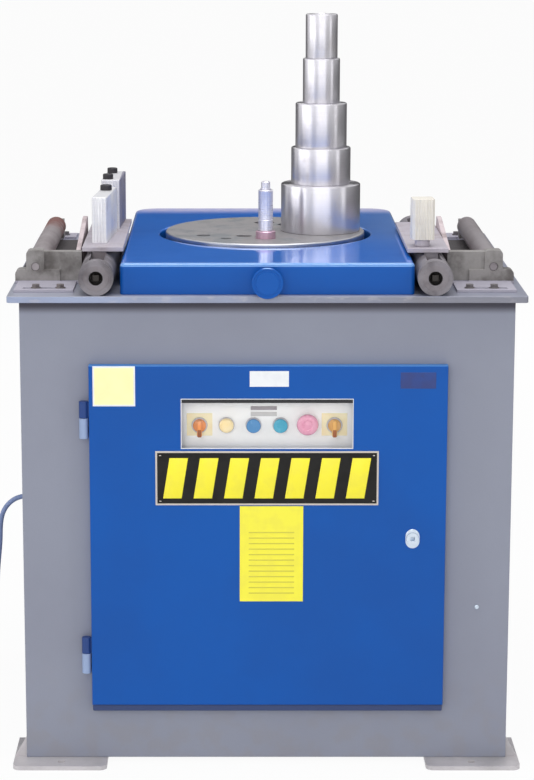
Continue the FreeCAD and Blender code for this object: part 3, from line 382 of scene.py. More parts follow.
# Painted reflection: a pale lavender strip along the back of the cover's top.
painted_back_reflection = upper_face * depth.between(0.27, 0.36)
grains = point.noise(60.0, 5.0, 0.7).between(0.3, 0.7)
# Painted light: the top face is given a lighter blue than the upright faces.
upright_blue = (clouds * 0.6).blend(ink(6, 84, 170), ink(12, 76, 156))
top_lit_blue = (clouds * 0.6).blend(ink(0, 120, 232), ink(6, 108, 212))
# Painted reflection: a pale patch at the front right of the top, where the drums are mirrored.
film_and_drum_reflection = point.along(0).between(0.05, 0.34) * depth.between(-0.3, 0.1) * 0.4
lit_sheet_blue = upper_face.blend(upright_blue, film_and_drum_reflection.blend(top_lit_blue, ink(140, 172, 206)))
highlighted_blue = (front_fold_highlight + door_top_highlight).blend(lit_sheet_blue, ink(76, 138, 208))
feed(blue_shader, base_color=(painted_back_reflection * (grains * 0.3 + 0.65)).blend(highlighted_blue, ink(206, 198, 222)),
     coat_weight=upper_face * (1 - painted_back_reflection * 0.7),
     roughness=clouds * 0.06 + 0.34,
     normal=point.noise(330.0, 2.0).relief(0.05, 0.0003))
eased("bed_cover_sheet", "bed_cover", 0.0008, blue_enamel)

# Cap on the cover's front: a turned plug with a plain recessed face, pressed into the sheet and
# sprayed together with the cover.


def skin(sheet, rings, capped=False):
    """Faces from ring to ring of corners, where a ring may be one point, and over capped ends."""
    for lower, upper in zip(rings, rings[1:]):
        for k in range(max(len(lower), len(upper))):
            corners = dict.fromkeys((lower[k % len(lower)], lower[(k + 1) % len(lower)],
                                     upper[(k + 1) % len(upper)], upper[k % len(upper)]))
            if len(corners) > 2:
                sheet.faces.new(list(corners))
    if capped:
        sheet.faces.new(rings[0][::-1])
        sheet.faces.new(rings[-1])


def turned(name, profile, centre, axis, material, body, stands_for=(), steps=72, ripple=None):
    """A lathe form. Its centre and its profile, pairs of place along the axis and radius, are in mm."""
    sheet = bmesh.new()
    rings = []
    for along, radius in profile:
        ring = []
        for k in range(steps if radius else 1):
            turn = 2 * math.pi * k / steps
            swell = ripple(k, along, radius) if ripple else 0.0
            u, v = (radius + swell) * math.cos(turn), (radius + swell) * math.sin(turn)
            spot = {"X": (along, u, v), "Y": (u, along, v), "Z": (u, v, along)}[axis]
            ring.append(sheet.verts.new([(c + s) / 1000 for c, s in zip(centre, spot)]))
        rings.append(ring)
    skin(sheet, rings)
    return keep_piece(name, made_mesh(name, sheet), material, body, stands_for)


cap_profile = [(0.2, 0), (0.2, 18), (-20.3, 18), (-20.3, 27), (-21.2, 28.3), (-24.2, 28.5),
               (-25.2, 27.6), (-25.2, 25.2), (-24.3, 24.6), (-24.3, 21.4), (-25.2, 20.8), (-25.2, 0)]
turned("cover_cap", cap_profile, (0, COVER_FRONT * 1000, 917.5), "Y", blue_enamel, "machine",
       ("front_cap",))

# Disc: a turned steel plate with sockets and stop holes, screwed to the main shaft. Its face is dull
# and stained by the bars, and its turned side is bright.
DISC_RADIUS = 0.195
disc_steel, disc_shader, point = begin_finish("disc_steel")
flat_point = point.stretched(1.0, 1.0, 0.0)
from_middle = point.node("ShaderNodeVectorMath", {"operation": "LENGTH"}, {0: flat_point}, "Value")
turned_side = from_middle.between(DISC_RADIUS - 0.0025, DISC_RADIUS - 0.0008)
tool_rings = point.node("ShaderNodeTexNoise", {"noise_dimensions": "1D"},
                        {"W": from_middle, "Scale": 900.0})
stains = point.noise(14.0, 6.0, 0.62).between(0.46, 0.66)
rust = point.noise(31.0, 6.0, 0.7).between(0.6, 0.75)
clean_face = (tool_rings * 0.4).blend(ink(152, 149, 151), ink(124, 122, 126))
face_colour = (rust * 0.8).blend((stains * 0.6).blend(clean_face, ink(104, 112, 118)), ink(116, 92, 58))
feed(disc_shader, base_color=turned_side.blend(face_colour, ink(188, 190, 196)),
     metallic=turned_side * 0.6 + 0.4,
     roughness=tool_rings * 0.14 + stains * 0.12 + rust * 0.2 + (1 - turned_side) * 0.14 + 0.24,
     normal=tool_rings.relief(0.15, 0.0003))
eased("turning_disc", "bending_disc", 0.0007, disc_steel)

# Mandrels: five turned steel drums in a stack, each with a spigot that sits in the one below. The
# bars that are bent round them keep them bright.


def worked_steel(name, colour, stain, amount, roughness, marks_scale, metallic=1.0,
                 grain=(0.02, 0.02, 1.0), streaked=0.0):
    """Steel with tool marks that run across the direction in which grain is largest."""
    material, shader, point = begin_finish(name, metallic=metallic, anisotropic=streaked,
                                           anisotropic_rotation=0.25)
    marks = point.stretched(*grain).noise(marks_scale, 2.0)
    patches = point.noise(14.0, 6.0, 0.62)
    stains = patches.between(0.66 - amount * 0.3, 0.72) * amount
    marked = (marks * 0.35).blend(colour, tuple(c * 0.72 for c in colour))
    feed(shader, base_color=stains.blend(marked, stain),
         roughness=marks * 0.16 + stains * 0.3 + patches * 0.1 + roughness,
         normal=marks.relief(0.18, 0.0003))
    return material


mandrel_steel = worked_steel("mandrel_steel", ink(216, 214, 220), ink(166, 156, 152), 0.3, 0.2, 700.0,
                             streaked=0.85)
SPIGOT_LENGTH = 20.0
SOCKET_RADIUS = 15.0
SOCKET_DEPTH = 30.0
for k in range(5):
    node = "mandrel_%d" % (k + 1)
    low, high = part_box(node)
    radius = (high.x - low.x) * 500
    foot, top = low.z * 1000, high.z * 1000
    seat = foot + SPIGOT_LENGTH
    spigot_radius = 14.95 if k else 19.95
    drum_profile = [(foot, 0), (foot, spigot_radius - 1), (foot + 1, spigot_radius),
                    (seat, spigot_radius), (seat, radius - 1.6), (seat + 0.6, radius - 0.5),
                    (seat + 1.6, radius), (top - 2.2, radius), (top - 0.8, radius - 0.7),
                    (top, radius - 2.2), (top, SOCKET_RADIUS + 1.2), (top - 1.2, SOCKET_RADIUS),
                    (top - SOCKET_DEPTH, SOCKET_RADIUS), (top - SOCKET_DEPTH, 0)]
    turned("mandrel_drum_%d" % (k + 1), drum_profile, ((low.x + high.x) * 500, 0, 0), "Z",
           mandrel_steel, node, (node,), 96)

# Bending pin: a turned core with a collar, whose spigot drops into a socket of the disc. Its collar
# has the rose tint of heated steel.
pin_steel, pin_shader, point = begin_finish("pin_steel", metallic=0.6)
pin_marks = point.stretched(0.02, 0.02, 1.0).noise(600.0, 2.0)
COLLAR_TOP = 971.0
heated = 1 - point.along(2).between(COLLAR_TOP / 1000 - 0.0002, COLLAR_TOP / 1000 + 0.0004)
pin_bright = (pin_marks * 0.4).blend(ink(232, 230, 238), ink(192, 192, 204))
pin_rose = (pin_marks * 0.4).blend(ink(206, 172, 190), ink(176, 138, 155))
feed(pin_shader, base_color=heated.blend(pin_bright, pin_rose),
     roughness=pin_marks * 0.16 + 0.22,
     normal=pin_marks.relief(0.18, 0.0003))
pin_profile = [(937, 0), (937, 19), (938, 19.95), (957, 19.95), (957, 18.4), (957.6, 19),
               (COLLAR_TOP - 1.2, 19), (COLLAR_TOP, 17.8), (COLLAR_TOP, 8.7), (1051.2, 8.7),
               (1051.2, 10.4), (1052.6, 10.4), (1052.6, 8.7), (1064.6, 8.7), (1066, 7.2), (1066, 3),
               (1063, 2.2), (1063, 0)]
pin_low, pin_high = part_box("bending_pin")
pin_middle = (0, (pin_low.y + pin_high.y) * 500, 0)
turned("pin_core", pin_profile, pin_middle, "Z", pin_steel, "bending_pin",
       ("bending_pin",))

# Pin sleeve: a hardened tube that turns round the core as the bar rolls by. Fine ribs are cut along
# its upper part, and a ring below them takes the bar.


def sleeve_ribs(k, along, radius):
    return -0.4 if radius > 13 and k % 4 < 2 and 995.5 < along < 1046 else 0.0


sleeve_profile = [(971.3, 8.75), (971.3, 13.2), (972.1, 14), (992, 14), (993, 13.2), (994.4, 13.2),
                  (995.3, 14), (995.6, 14), (1045.6, 14), (1046.2, 14), (1049.2, 14), (1050, 13.1),
                  (1050, 8.75), (971.3, 8.75)]
turned("pin_sleeve_ribbed", sleeve_profile, pin_middle, "Z", pin_steel, "pin_sleeve",
       ("pin_sleeve",), 96, sleeve_ribs)

# Guide tubes: cast round housings along both sides, welded to the table and slotted on top for the
# slide's neck. A turned ring stands on each front end, and old grease lines its recess.


def casting(name, colour, shade, bump=0.5, metallic=0.2, roughness=0.5, foot=None):
    """Cast iron with sand marks. Foot is the colour of its plates on the table."""
    material, shader, point = begin_finish(name, metallic=metallic)
    sand = point.noise(210.0, 5.0, 0.7)
    grime = point.noise(17.0, 5.0, 0.6).between(0.4, 0.68)
    cast = (grime * 0.8 + sand * 0.15).blend(colour, shade)
    if foot:
        above_foot = point.along(2).between(TABLE_TOP + 0.0055, TABLE_TOP + 0.007)
        cast = (grime * 0.2 + above_foot * 0.8 + 0.2).between(0.3, 0.7).blend(foot, cast)
    feed(shader, base_color=cast,
         roughness=sand * 0.2 + grime * 0.12 + roughness,
         normal=sand.relief(bump, 0.0009))
    return material


tube_casting = casting("tube_casting", ink(130, 126, 132), ink(82, 77, 82))
eased("guide_tube_pair", "guide_tubes", 0.0012, tube_casting)
ring_metal = casting("ring_metal", ink(128, 123, 128), ink(90, 84, 88), 0.25, 0.3, 0.45)
grease = casting("old_grease", ink(40, 36, 36), ink(28, 26, 26), 0.4, 0.0, 0.55)
end_ring_profile = [(-405.8, 14.2), (-406.4, 14.8), (-406.4, 23.2), (-405.8, 23.8), (-405.8, 14.2)]
grease_profile = [(-405.6, 12.98), (-405.6, 12.4), (-388.6, 12.4), (-388.6, 10.1), (-388.1, 10.1),
                  (-388.1, 12.98), (-405.6, 12.98)]
for side_name in ("left", "right"):
    low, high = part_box("feed_screw_" + side_name)
    screw_middle = ((low.x + high.x) * 500, 0, (low.z + high.z) * 500)
    for part, profile, metal in (("ring", end_ring_profile, ring_metal), ("grease", grease_profile, grease)):
        turned("tube_%s_%s" % (part, side_name), profile, screw_middle, "Y", metal, "machine")

# Feed screws: cut threads inside the tubes that drive the slides, with a square end in front for a
# hand crank. They are dark with grease.


def small_block(name, size, bevel, lean=0.0, segments=2, middle=(0.0, 0.0, 0.0), angle=50.0):
    """A bevelled block round its middle, its top leaning towards +X by lean, in metres."""
    sheet = bmesh.new()
    bmesh.ops.create_cube(sheet, size=1.0)
    bmesh.ops.scale(sheet, vec=size, verts=sheet.verts)
    for corner in sheet.verts:
        corner.co.x += lean * corner.co.z / size[2]
    bmesh.ops.bevel(sheet, geom=sheet.edges, offset=bevel, segments=segments, affect="EDGES",
                    profile=0.5)
    bmesh.ops.translate(sheet, verts=sheet.verts, vec=middle)
    return made_mesh(name, sheet, angle)


screw_steel = worked_steel("screw_steel", ink(44, 40, 38), ink(34, 30, 27), 0.6, 0.5, 900.0, 0.25,
                           (0.02, 1.0, 0.02))
THREAD_PITCH = 5.0
THREAD_FACETS = 14
THREAD_FROM = -372.0
THREAD_TURNS = 110
THREAD_RIDGE = ((0.0, 8.6), (1.1, 9.95), (2.4, 9.95), (3.5, 8.6))
for side_name in ("left", "right"):
    node = "feed_screw_" + side_name
    low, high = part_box(node)
    middle_x, middle_z = (low.x + high.x) / 2, (low.z + high.z) / 2
    front, back = low.y * 1000, high.y * 1000
    sheet = bmesh.new()
    ridges = []
    for k in range(THREAD_TURNS * THREAD_FACETS):
        angle = 2 * math.pi * k / THREAD_FACETS
        y = THREAD_FROM + THREAD_PITCH * k / THREAD_FACETS
        ridges.append([sheet.verts.new((middle_x + radius * math.cos(angle) / 1000, (y + offset) / 1000,
                                        middle_z + radius * math.sin(angle) / 1000))
                       for offset, radius in THREAD_RIDGE])
    skin(sheet, ridges, capped=True)
    keep_piece(node + "_thread", made_mesh(node + "_thread", sheet, 40), screw_steel, node)
    core_profile = [(back, 0), (back, 8.9), (back - 1, 9.9), (back - 22, 9.9), (back - 23, 8.7),
                    (THREAD_FROM + 2, 8.7), (THREAD_FROM, 9.9), (front + 15, 9.9), (front + 14.5, 9),
                    (front + 14.5, 0)]
    turned(node + "_core", core_profile, (middle_x * 1000, 0, middle_z * 1000), "Y", screw_steel,
           node)
    square = small_block(node + "_square", (0.012, 0.015, 0.012), 0.0009, angle=32.0,
                         middle=(middle_x, low.y + 0.0075, middle_z))
    keep_piece(node + "_square", square, screw_steel, node, (node,))

# Slides: milled plates, each on a neck that runs in the tube's slot and a shoe with the nut in it.
# They are bare steel with a dull, slightly pink bloom of rust.
slide_steel = worked_steel("slide_steel", ink(182, 176, 186), ink(154, 140, 142), 0.6, 0.4, 300.0, 0.3,
                           (1.0, 0.03, 1.0))
for node in ("slide_left", "slide_right"):
    eased(node + "_plate", node, 0.0009, slide_steel)

# Contrast blocks: sawn steel bars that the bar leans on, each held by a peg in its slide, with upright
# grooves on their faces. The left ones carry black cap screws with a hexagon socket.
block_steel = worked_steel("block_steel", ink(226, 226, 230), ink(176, 166, 164), 0.35, 0.34, 260.0, 0.6)
rear_block_steel, rear_shader, point = begin_finish("rear_block_steel", metallic=0.6)
rear_marks = point.stretched(0.02, 0.02, 1.0).noise(260.0, 2.0)
# Painted shade: the rear block's inner side face is painted a darker blue-grey than its sawn front.
shaded_side = point.along(0).between(-0.2836, -0.2828)
sawn_face = (rear_marks * 0.35).blend(ink(220, 220, 225), ink(178, 172, 172))
feed(rear_shader, base_color=shaded_side.blend(sawn_face, ink(146, 144, 160)),
     roughness=rear_marks * 0.16 + 0.42,
     normal=rear_marks.relief(0.18, 0.0003))
pale_block_steel = worked_steel("pale_block_steel", ink(226, 221, 212), ink(188, 174, 168), 0.4, 0.4,
                                260.0, 0.1)
black_oxide = worked_steel("black_oxide", ink(56, 54, 58), ink(84, 76, 72), 0.4, 0.4, 500.0, 0.5)
SLIDE_TOP = 965.5
FRONT_BLOCK = (-306.5, -160)
FRONT_BLOCK_TOP = SLIDE_TOP + 86
REAR_BLOCK = (-298, 25)
REAR_BLOCK_TOP = SLIDE_TOP + 96
RIGHT_BLOCK = (289, -272)
RIGHT_BLOCK_TOP = 1055
RIGHT_NECK = 13
GROOVE_PITCH = 5.2
GROOVE_SECTION = ((0.18, 0.0), (0.34, 0.8), (0.66, 0.8), (0.82, 0.0))


def grooved_block(node, middle, width, length, low, high, turn, corner, steel):
    """A bar with rounded grooves round its outline and cut corners, turned about its middle, in mm."""
    outline = []
    for start, end in (((-1, -1), (1, -1)), ((1, -1), (1, 1)), ((1, 1), (-1, 1)), ((-1, 1), (-1, -1))):
        a = Vector((start[0] * width / 2, start[1] * length / 2))
        b = Vector((end[0] * width / 2, end[1] * length / 2))
        way = (b - a).normalized()
        inward = Vector((-way.y, way.x))
        free = (b - a).length - 2 * corner - 3
        count = max(3, round(free / GROOVE_PITCH))
        pitch = free / count
        outline.append(a + way * corner)
        for k in range(count):
            base = a + way * (corner + 1.5 + pitch * k)
            outline += [base + way * pitch * share + inward * depth for share, depth in GROOVE_SECTION]
        outline.append(b - way * corner)
    turning = Matrix.Rotation(math.radians(turn), 2)
    sheet = bmesh.new()
    rings = []
    for z, shrink in ((low, 0.6), (low + 0.6, 0.0), (high - 0.9, 0.0), (high, 0.9)):
        ring = []
        for spot in outline:
            place = turning @ Vector((spot.x * (1 - 2 * shrink / width),
                                      spot.y * (1 - 2 * shrink / length)))
            ring.append(sheet.verts.new(((middle[0] + place.x) / 1000, (middle[1] + place.y) / 1000,
                                         z / 1000)))
        rings.append(ring)
    skin(sheet, rings, capped=True)
    keep_piece(node + "_bar", made_mesh(node + "_bar", sheet, 40), steel, node, (node,))


def hexagon_socket(k, along, radius):
    turn = (5 * k + 30) % 60 - 30
    return radius * (1 / math.cos(math.radians(turn)) - 1) if 4.9 < radius < 6 else 0.0


def cap_screw(name, node, middle, turn, across, along, seat, radius):
    """A round screw head on a block, placed from the block's middle before the block was turned."""
    place = Matrix.Rotation(math.radians(turn), 2) @ Vector((across, along))
    profile = [(seat - 0.3, 0), (seat - 0.3, radius - 0.5), (seat + 0.6, radius),
               (seat + 8.6, radius), (seat + 10, radius - 1.4), (seat + 10, 5.9), (seat + 9.4, 5),
               (seat + 4, 5), (seat + 4, 0)]
    turned(name, profile, (middle[0] + place.x, middle[1] + place.y, 0), "Z", black_oxide, node,
           (), 72, hexagon_socket)


def peg(node, middle, length, neck, steel):
    """The peg below a block, so long into the slide, with a wider neck where neck gives its height."""
    low = SLIDE_TOP - length
    profile = [(low, 0), (low, 7), (low + 1, 8), (SLIDE_TOP, 8)]
    if neck:
        profile += [(SLIDE_TOP, 13.3), (SLIDE_TOP + 0.8, 14), (SLIDE_TOP + neck, 14),
                    (SLIDE_TOP + neck, 0)]
    else:
        profile += [(SLIDE_TOP + 0.5, 8), (SLIDE_TOP + 0.5, 0)]
    turned(node + "_peg", profile, (middle[0], middle[1], 0), "Z", steel, node)


grooved_block("block_left_front", FRONT_BLOCK, 28, 165, SLIDE_TOP, FRONT_BLOCK_TOP, -4, 1.5, block_steel)
peg("block_left_front", (-311, -160), 20, 0, block_steel)
cap_screw("front_block_screw", "block_left_front", FRONT_BLOCK, -4, -1, 34, FRONT_BLOCK_TOP, 11)
grooved_block("block_left_rear", REAR_BLOCK, 36, 150, SLIDE_TOP, REAR_BLOCK_TOP, -2, 1.5,
              rear_block_steel)
peg("block_left_rear", (-305, 25), 7, 0, rear_block_steel)
for number, along in ((1, -56), (2, 46)):
    cap_screw("rear_block_screw_%d" % number, "block_left_rear", REAR_BLOCK, -2, -6, along,
              REAR_BLOCK_TOP, 10)
grooved_block("block_right", RIGHT_BLOCK, 41, 41, SLIDE_TOP + RIGHT_NECK, RIGHT_BLOCK_TOP, 3.5, 4,
              pale_block_steel)
peg("block_right", RIGHT_BLOCK, 7, RIGHT_NECK, slide_steel)

# Roller brackets: iron castings screwed to the table through a slotted foot, which carry the ends of
# the rollers. They are left as cast, with sand marks and grime.
bracket_casting = casting("bracket_casting", ink(146, 143, 142), ink(82, 77, 75), 0.6, 0.15,
                          foot=ink(166, 163, 176))
eased("roller_bracket_castings", "roller_brackets", 0.0022, bracket_casting, 3)

# Bar rollers: smooth steel tubes on stub axles that let a long bar slide in from the side. The left
# one has more rust towards the back. The right one's steel is painted darker, as shade.


def rusty_roller(name, rust_from, steel_tone, grime_tone):
    material, shader, point = begin_finish(name, metallic=0.35)
    marks = point.stretched(1.0, 0.04, 1.0).noise(120.0, 4.0)
    rust = point.along(1).between(rust_from, rust_from + 0.12) * point.noise(22.0, 5.0).between(0.2, 0.55)
    grime = point.noise(11.0, 5.0).between(0.4, 0.7)
    steel = (grime * 0.7).blend(steel_tone, grime_tone)
    feed(shader, base_color=rust.blend(steel, ink(116, 80, 76)),
         roughness=marks * 0.2 + rust * 0.2 + 0.38,
         normal=marks.relief(0.3, 0.0005))
    return material


roller_profile = [(-265, 0), (-265, 7), (-264, 8), (-235.5, 8), (-235.5, 17.5), (-233.5, 20),
                  (284.5, 20), (286.5, 17.5), (286.5, 8), (315, 8), (316, 7), (316, 0)]
# Painted shade: the right roller's steel tone is darker than the left one's.
for side_name, rust_from, steel_tone in (("left", 0.1, ink(160, 153, 156)),
                                         ("right", 0.6, ink(142, 136, 140))):
    node = "bar_roller_" + side_name
    low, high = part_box(node)
    roller_steel = rusty_roller("roller_steel_" + side_name, rust_from, steel_tone, ink(120, 111, 114))
    turned("bar_roller_tube_" + side_name, roller_profile,
           ((low.x + high.x) * 500, 0, (low.z + high.z) * 500), "Y", roller_steel, node,
           (node,))

# Cheeks: thin upright plates beside the slides that keep the bar on its way, sawn from flat steel
# and rubbed bright, with a pink bloom of rust.
cheek_steel = casting("cheek_steel", ink(214, 200, 204), ink(150, 134, 136), 0.3, 0.25, 0.42)
eased("bar_cheek_plates", "bar_cheeks", 0.0007, cheek_steel)

# Bolts: hexagon heads with washers that hold the bracket feet, and round screws that hold the cover
# at the back. They are bought in, of dark steel.
bolt_steel = worked_steel("bolt_steel", ink(120, 116, 118), ink(96, 72, 58), 0.6, 0.38, 500.0, 0.6)
eased("hexagon_bolts", "fasteners", 0.0005, bolt_steel)

# Shade sheets: ribbed dark strips laid on the table under the rollers, which stand in for the shade
# that falls there between the rollers and the cheeks.


def printed(name, colour, faded, roughness=0.35, coat=0.2, grain=40.0):
    material, shader, point = begin_finish(name, coat_weight=coat, coat_roughness=0.1)
    fade = point.noise(grain, 3.0, 0.55).between(0.4, 0.66)
    feed(shader, base_color=(fade * 0.5).blend(colour, faded),
         roughness=fade * 0.1 + roughness,
         normal=point.noise(900.0, 1.0).relief(0.08, 0.0002))
    return material


def spread(name, unit, columns, rows, width, height, middle, turn, material, body):
    """Copies of a small mesh on a grid, made by Geometry Nodes and kept as one plain mesh."""
    tree = bpy.data.node_groups.new(name + "_grid", "GeometryNodeTree")
    tree.interface.new_socket("Geometry", in_out="INPUT", socket_type="NodeSocketGeometry")
    wanted = (("Columns", "NodeSocketInt", columns), ("Rows", "NodeSocketInt", rows),
              ("Width", "NodeSocketFloat", width), ("Height", "NodeSocketFloat", height),
              ("Middle", "NodeSocketVector", middle), ("Turn", "NodeSocketVector", turn),
              ("Finish", "NodeSocketMaterial", material))
    sockets = {label: tree.interface.new_socket(label, in_out="INPUT", socket_type=kind).identifier
               for label, kind, value in wanted}
    tree.interface.new_socket("Geometry", in_out="OUTPUT", socket_type="NodeSocketGeometry")
    into = tree.nodes.new("NodeGroupInput")
    out = tree.nodes.new("NodeGroupOutput")
    grid = tree.nodes.new("GeometryNodeMeshGrid")
    place = tree.nodes.new("GeometryNodeTransform")
    copies = tree.nodes.new("GeometryNodeInstanceOnPoints")
    whole = tree.nodes.new("GeometryNodeRealizeInstances")
    finish = tree.nodes.new("GeometryNodeSetMaterial")
    for source, output, target, entry in (
            (into, "Columns", grid, "Vertices X"), (into, "Rows", grid, "Vertices Y"),
            (into, "Width", grid, "Size X"), (into, "Height", grid, "Size Y"),
            (grid, "Mesh", place, "Geometry"), (into, "Middle", place, "Translation"),
            (into, "Turn", place, "Rotation"), (place, "Geometry", copies, "Points"),
            (into, "Geometry", copies, "Instance"), (copies, "Instances", whole, "Geometry"),
            (whole, "Geometry", finish, "Geometry"), (into, "Finish", finish, "Material"),
            (finish, "Geometry", out, "Geometry")):
        tree.links.new(source.outputs[output], target.inputs[entry])
    draft = bpy.data.objects.new(name + "_draft", unit)
    scene.collection.objects.link(draft)
    maker = draft.modifiers.new("grid", "NODES")
    maker.node_group = tree
    for label, kind, value in wanted:
        maker[sockets[label]] = value
    mesh = baked_mesh(draft)
    bpy.data.objects.remove(draft)
    return keep_piece(name, mesh, material, body)


# Painted shade: dark ribbed sheets under the rollers, where the table lies in shade.
mat_rubber = printed("mat_rubber", ink(58, 54, 57), ink(74, 69, 71), 0.65, 0.0, 30.0)
mat_rib = small_block("mat_rib", (0.106, 0.0062, 0.0032), 0.0009)
for side_name, sheet_x in (("left", -0.4165), ("right", 0.409)):
    spread("side_mat_" + side_name, mat_rib, 1, 66, 0.0, 0.515, (sheet_x, 0.026, TABLE_TOP + 0.0017),
           (0.0, 0.0, 0.0), mat_rubber, "machine")

# Door: a folded tray of 2 mm sheet in the blue of the cover, hung on two lift-off hinges, with a
# window over the controls. A dark blue strip along its foot stands in for the shade under the door,
# and its top face is painted lighter, as a highlight.
eased("door_tray", "door", 0.0011, blue_enamel)
# Painted shade: a dark blue strip below the door's foot, where the door's shadow falls on the cabinet.
door_foot_shade_finish = printed("door_foot_shade_finish", ink(42, 60, 106), ink(52, 70, 112), 0.55, 0.0)
door_foot_shade = small_block("door_foot_shade_strip", (0.654, 0.014, 0.013), 0.002, middle=(0.002, -0.4005, 0.1113))
keep_piece("door_foot_shade_strip", door_foot_shade, door_foot_shade_finish, "door_leaf")

# Hinges: welded barrels. The upper halves are on the door in a darker blue, and the lower halves
# with their pins are on the cabinet in pale primer.
hinge_blue = enamel("hinge_blue", ink(26, 62, 128), ink(32, 62, 118), 0.4, 0.1, 0.2)
eased("door_hinge_knuckles", "door_knuckles", 0.0008, hinge_blue)
hinge_primer = enamel("hinge_primer", ink(150, 170, 205), ink(134, 150, 184), 0.45, 0.05, 0.2)
eased("cabinet_hinge_lugs", "hinge_posts", 0.0008, hinge_primer)

# Name plate: black enamelled sheet in a silver frame, riveted to the door. Slanted yellow bars fill
# the field where a name would be.


def upright_rings(sheet, low, high, steps):
    """Rings of four corners that face the front, each inset by so much at its own depth, in mm."""
    rings = []
    for inset, y in steps:
        left, bottom = low[0] + inset, low[1] + inset
        right, top = high[0] - inset, high[1] - inset
        rings.append([sheet.verts.new((x / 1000, y / 1000, z / 1000))
                      for x, z in ((left, bottom), (right, bottom), (right, top), (left, top))])
    return rings


def framed_plate(name, low, high, front, back, frame_width, frame_out, material, body,
                 stands_for=()):
    """An upright plate facing the front, with a raised frame round a sunk field, in mm."""
    sheet = bmesh.new()
    rings = upright_rings(sheet, low, high, (
        (0.0, back), (0.0, front + 0.15), (0.15, front), (frame_width - 0.15, front),
        (frame_width, front + frame_out)))
    skin(sheet, rings, capped=True)
    return keep_piece(name, made_mesh(name, sheet, 0), material, body, stands_for)


silver_frame = worked_steel("silver_frame", ink(206, 198, 190), ink(160, 148, 140), 0.3, 0.34, 500.0, 0.5)
black_print = printed("black_print", ink(5, 3, 2), ink(12, 9, 7), 0.75, 0.0)
plate_yellow = printed("plate_yellow", ink(248, 236, 40), ink(238, 226, 56))
DOOR_FACE = -412.0
UPRIGHT = (math.pi / 2, 0.0, 0.0)
PLATE_MIDDLE = 0.555
framed_plate("name_plate_frame", (-205, 504), (205, 606), DOOR_FACE - 1.2, DOOR_FACE, 3.2, 0.9,
             silver_frame, "door_leaf", ("door_plates",))
framed_plate("name_plate_field", (-201.5, 507.5), (201.5, 602.5), DOOR_FACE - 1, DOOR_FACE - 0.2, 0.4,
             0.05, black_print, "door_leaf")
slanted_bar = small_block("slanted_bar", (0.034, 0.0006, 0.076), 0.0002, 0.012)
spread("name_plate_bars", slanted_bar, 7, 1, 0.336, 0.0, (0.0, DOOR_FACE / 1000 - 0.0011, PLATE_MIDDLE),
       UPRIGHT, plate_yellow, "door_leaf")
plate_rivet = small_block("plate_rivet", (0.004, 0.004, 0.0014), 0.0006)
spread("name_plate_rivets", plate_rivet, 2, 2, 0.392, 0.086,
       (0.0, DOOR_FACE / 1000 - 0.0014, PLATE_MIDDLE), UPRIGHT, silver_frame, "door_leaf")

# Notice: a yellow film plate glued to the door under the name plate. It is bare but for ruled lines.
# The film has a slight shine.
yellow_print = printed("yellow_print", ink(246, 238, 58), ink(236, 226, 66))
framed_plate("yellow_notice", (-50, 320), (67, 502), DOOR_FACE - 0.7, DOOR_FACE, 1.0, 0.06,
             yellow_print, "door_leaf")
notice_ochre = printed("notice_ochre", ink(206, 196, 60), ink(216, 206, 66))
ruled_line = small_block("ruled_line", (0.084, 0.0003, 0.0022), 0.0001)
spread("notice_lines", ruled_line, 1, 12, 0.0, 0.116, (0.0085, DOOR_FACE / 1000 - 0.00072, 0.394),
       UPRIGHT, notice_ochre, "door_leaf")

# Small labels: a cream one in the door's corner, a white one above the window and a dark one in the
# other corner. They are printed film, glued on and bare but for a rim.
cream_print = printed("cream_print", ink(252, 250, 186), ink(246, 240, 176))
white_print = printed("white_print", ink(236, 239, 242), ink(222, 226, 231))
blue_film = printed("blue_film", ink(28, 60, 130), ink(44, 50, 106), 0.4, 0.0)
small_labels = (
    ("cream_label", (-318.5, 690), (-241, 764.5), 0.4, 0.0, 1.0, 0.05, white_print, "white_plastic"),
    ("cream_label_field", (-315.5, 693), (-244, 761.5), 0.6, 0.3, 0.6, 0.05, cream_print, "cream_plate"),
    ("white_label", (-32, 726.5), (39.5, 755.5), 0.5, 0.0, 1.2, 0.05, white_print, "white_plastic"),
    ("dark_label", (243, 723), (308, 753), 0.3, 0.0, 0.8, 0.03, blue_film, "black_plastic"),
)
for name, low, high, proud, raised, rim_width, rim_out, film_and_drum_reflection, slot in small_labels:
    framed_plate(name, low, high, DOOR_FACE - proud, DOOR_FACE - raised, rim_width, rim_out, film_and_drum_reflection,
                 "door_leaf")

# Lock: a turning insert with a square hole for the key, in an oval rosette of chromed zinc that is
# screwed on from behind.
chrome = worked_steel("lock_chrome", ink(214, 226, 240), ink(176, 186, 200), 0.2, 0.2, 300.0, 0.7)
eased("lock_square_insert", "lock_insert", 0.0007, chrome)


def oval(k, along, radius):
    return radius * 0.4 * abs(math.sin(math.radians(5 * k))) ** 1.6 if radius > 12.2 else 0.0


rosette_profile = [(0, 11.8), (-1.2, 11.8), (-1.4, 12), (-1.4, 12.6), (-0.9, 13), (0, 13), (0, 11.8)]
turned("lock_rosette", rosette_profile, (269, DOOR_FACE, 440), "Y", chrome, "door_leaf",
       (), 72, oval)

# Earth screw: a small round head beside the door, where the shell is earthed inside. It is zinc
# plated.
earth_screw_profile = [(0.2, 0), (0.2, 4), (-0.9, 4), (-1.6, 3.2), (-1.7, 0)]
CABINET_FRONT = -392
turned("earth_screw", earth_screw_profile, (392, CABINET_FRONT, 303), "Y", chrome, "machine",
       (), 24)

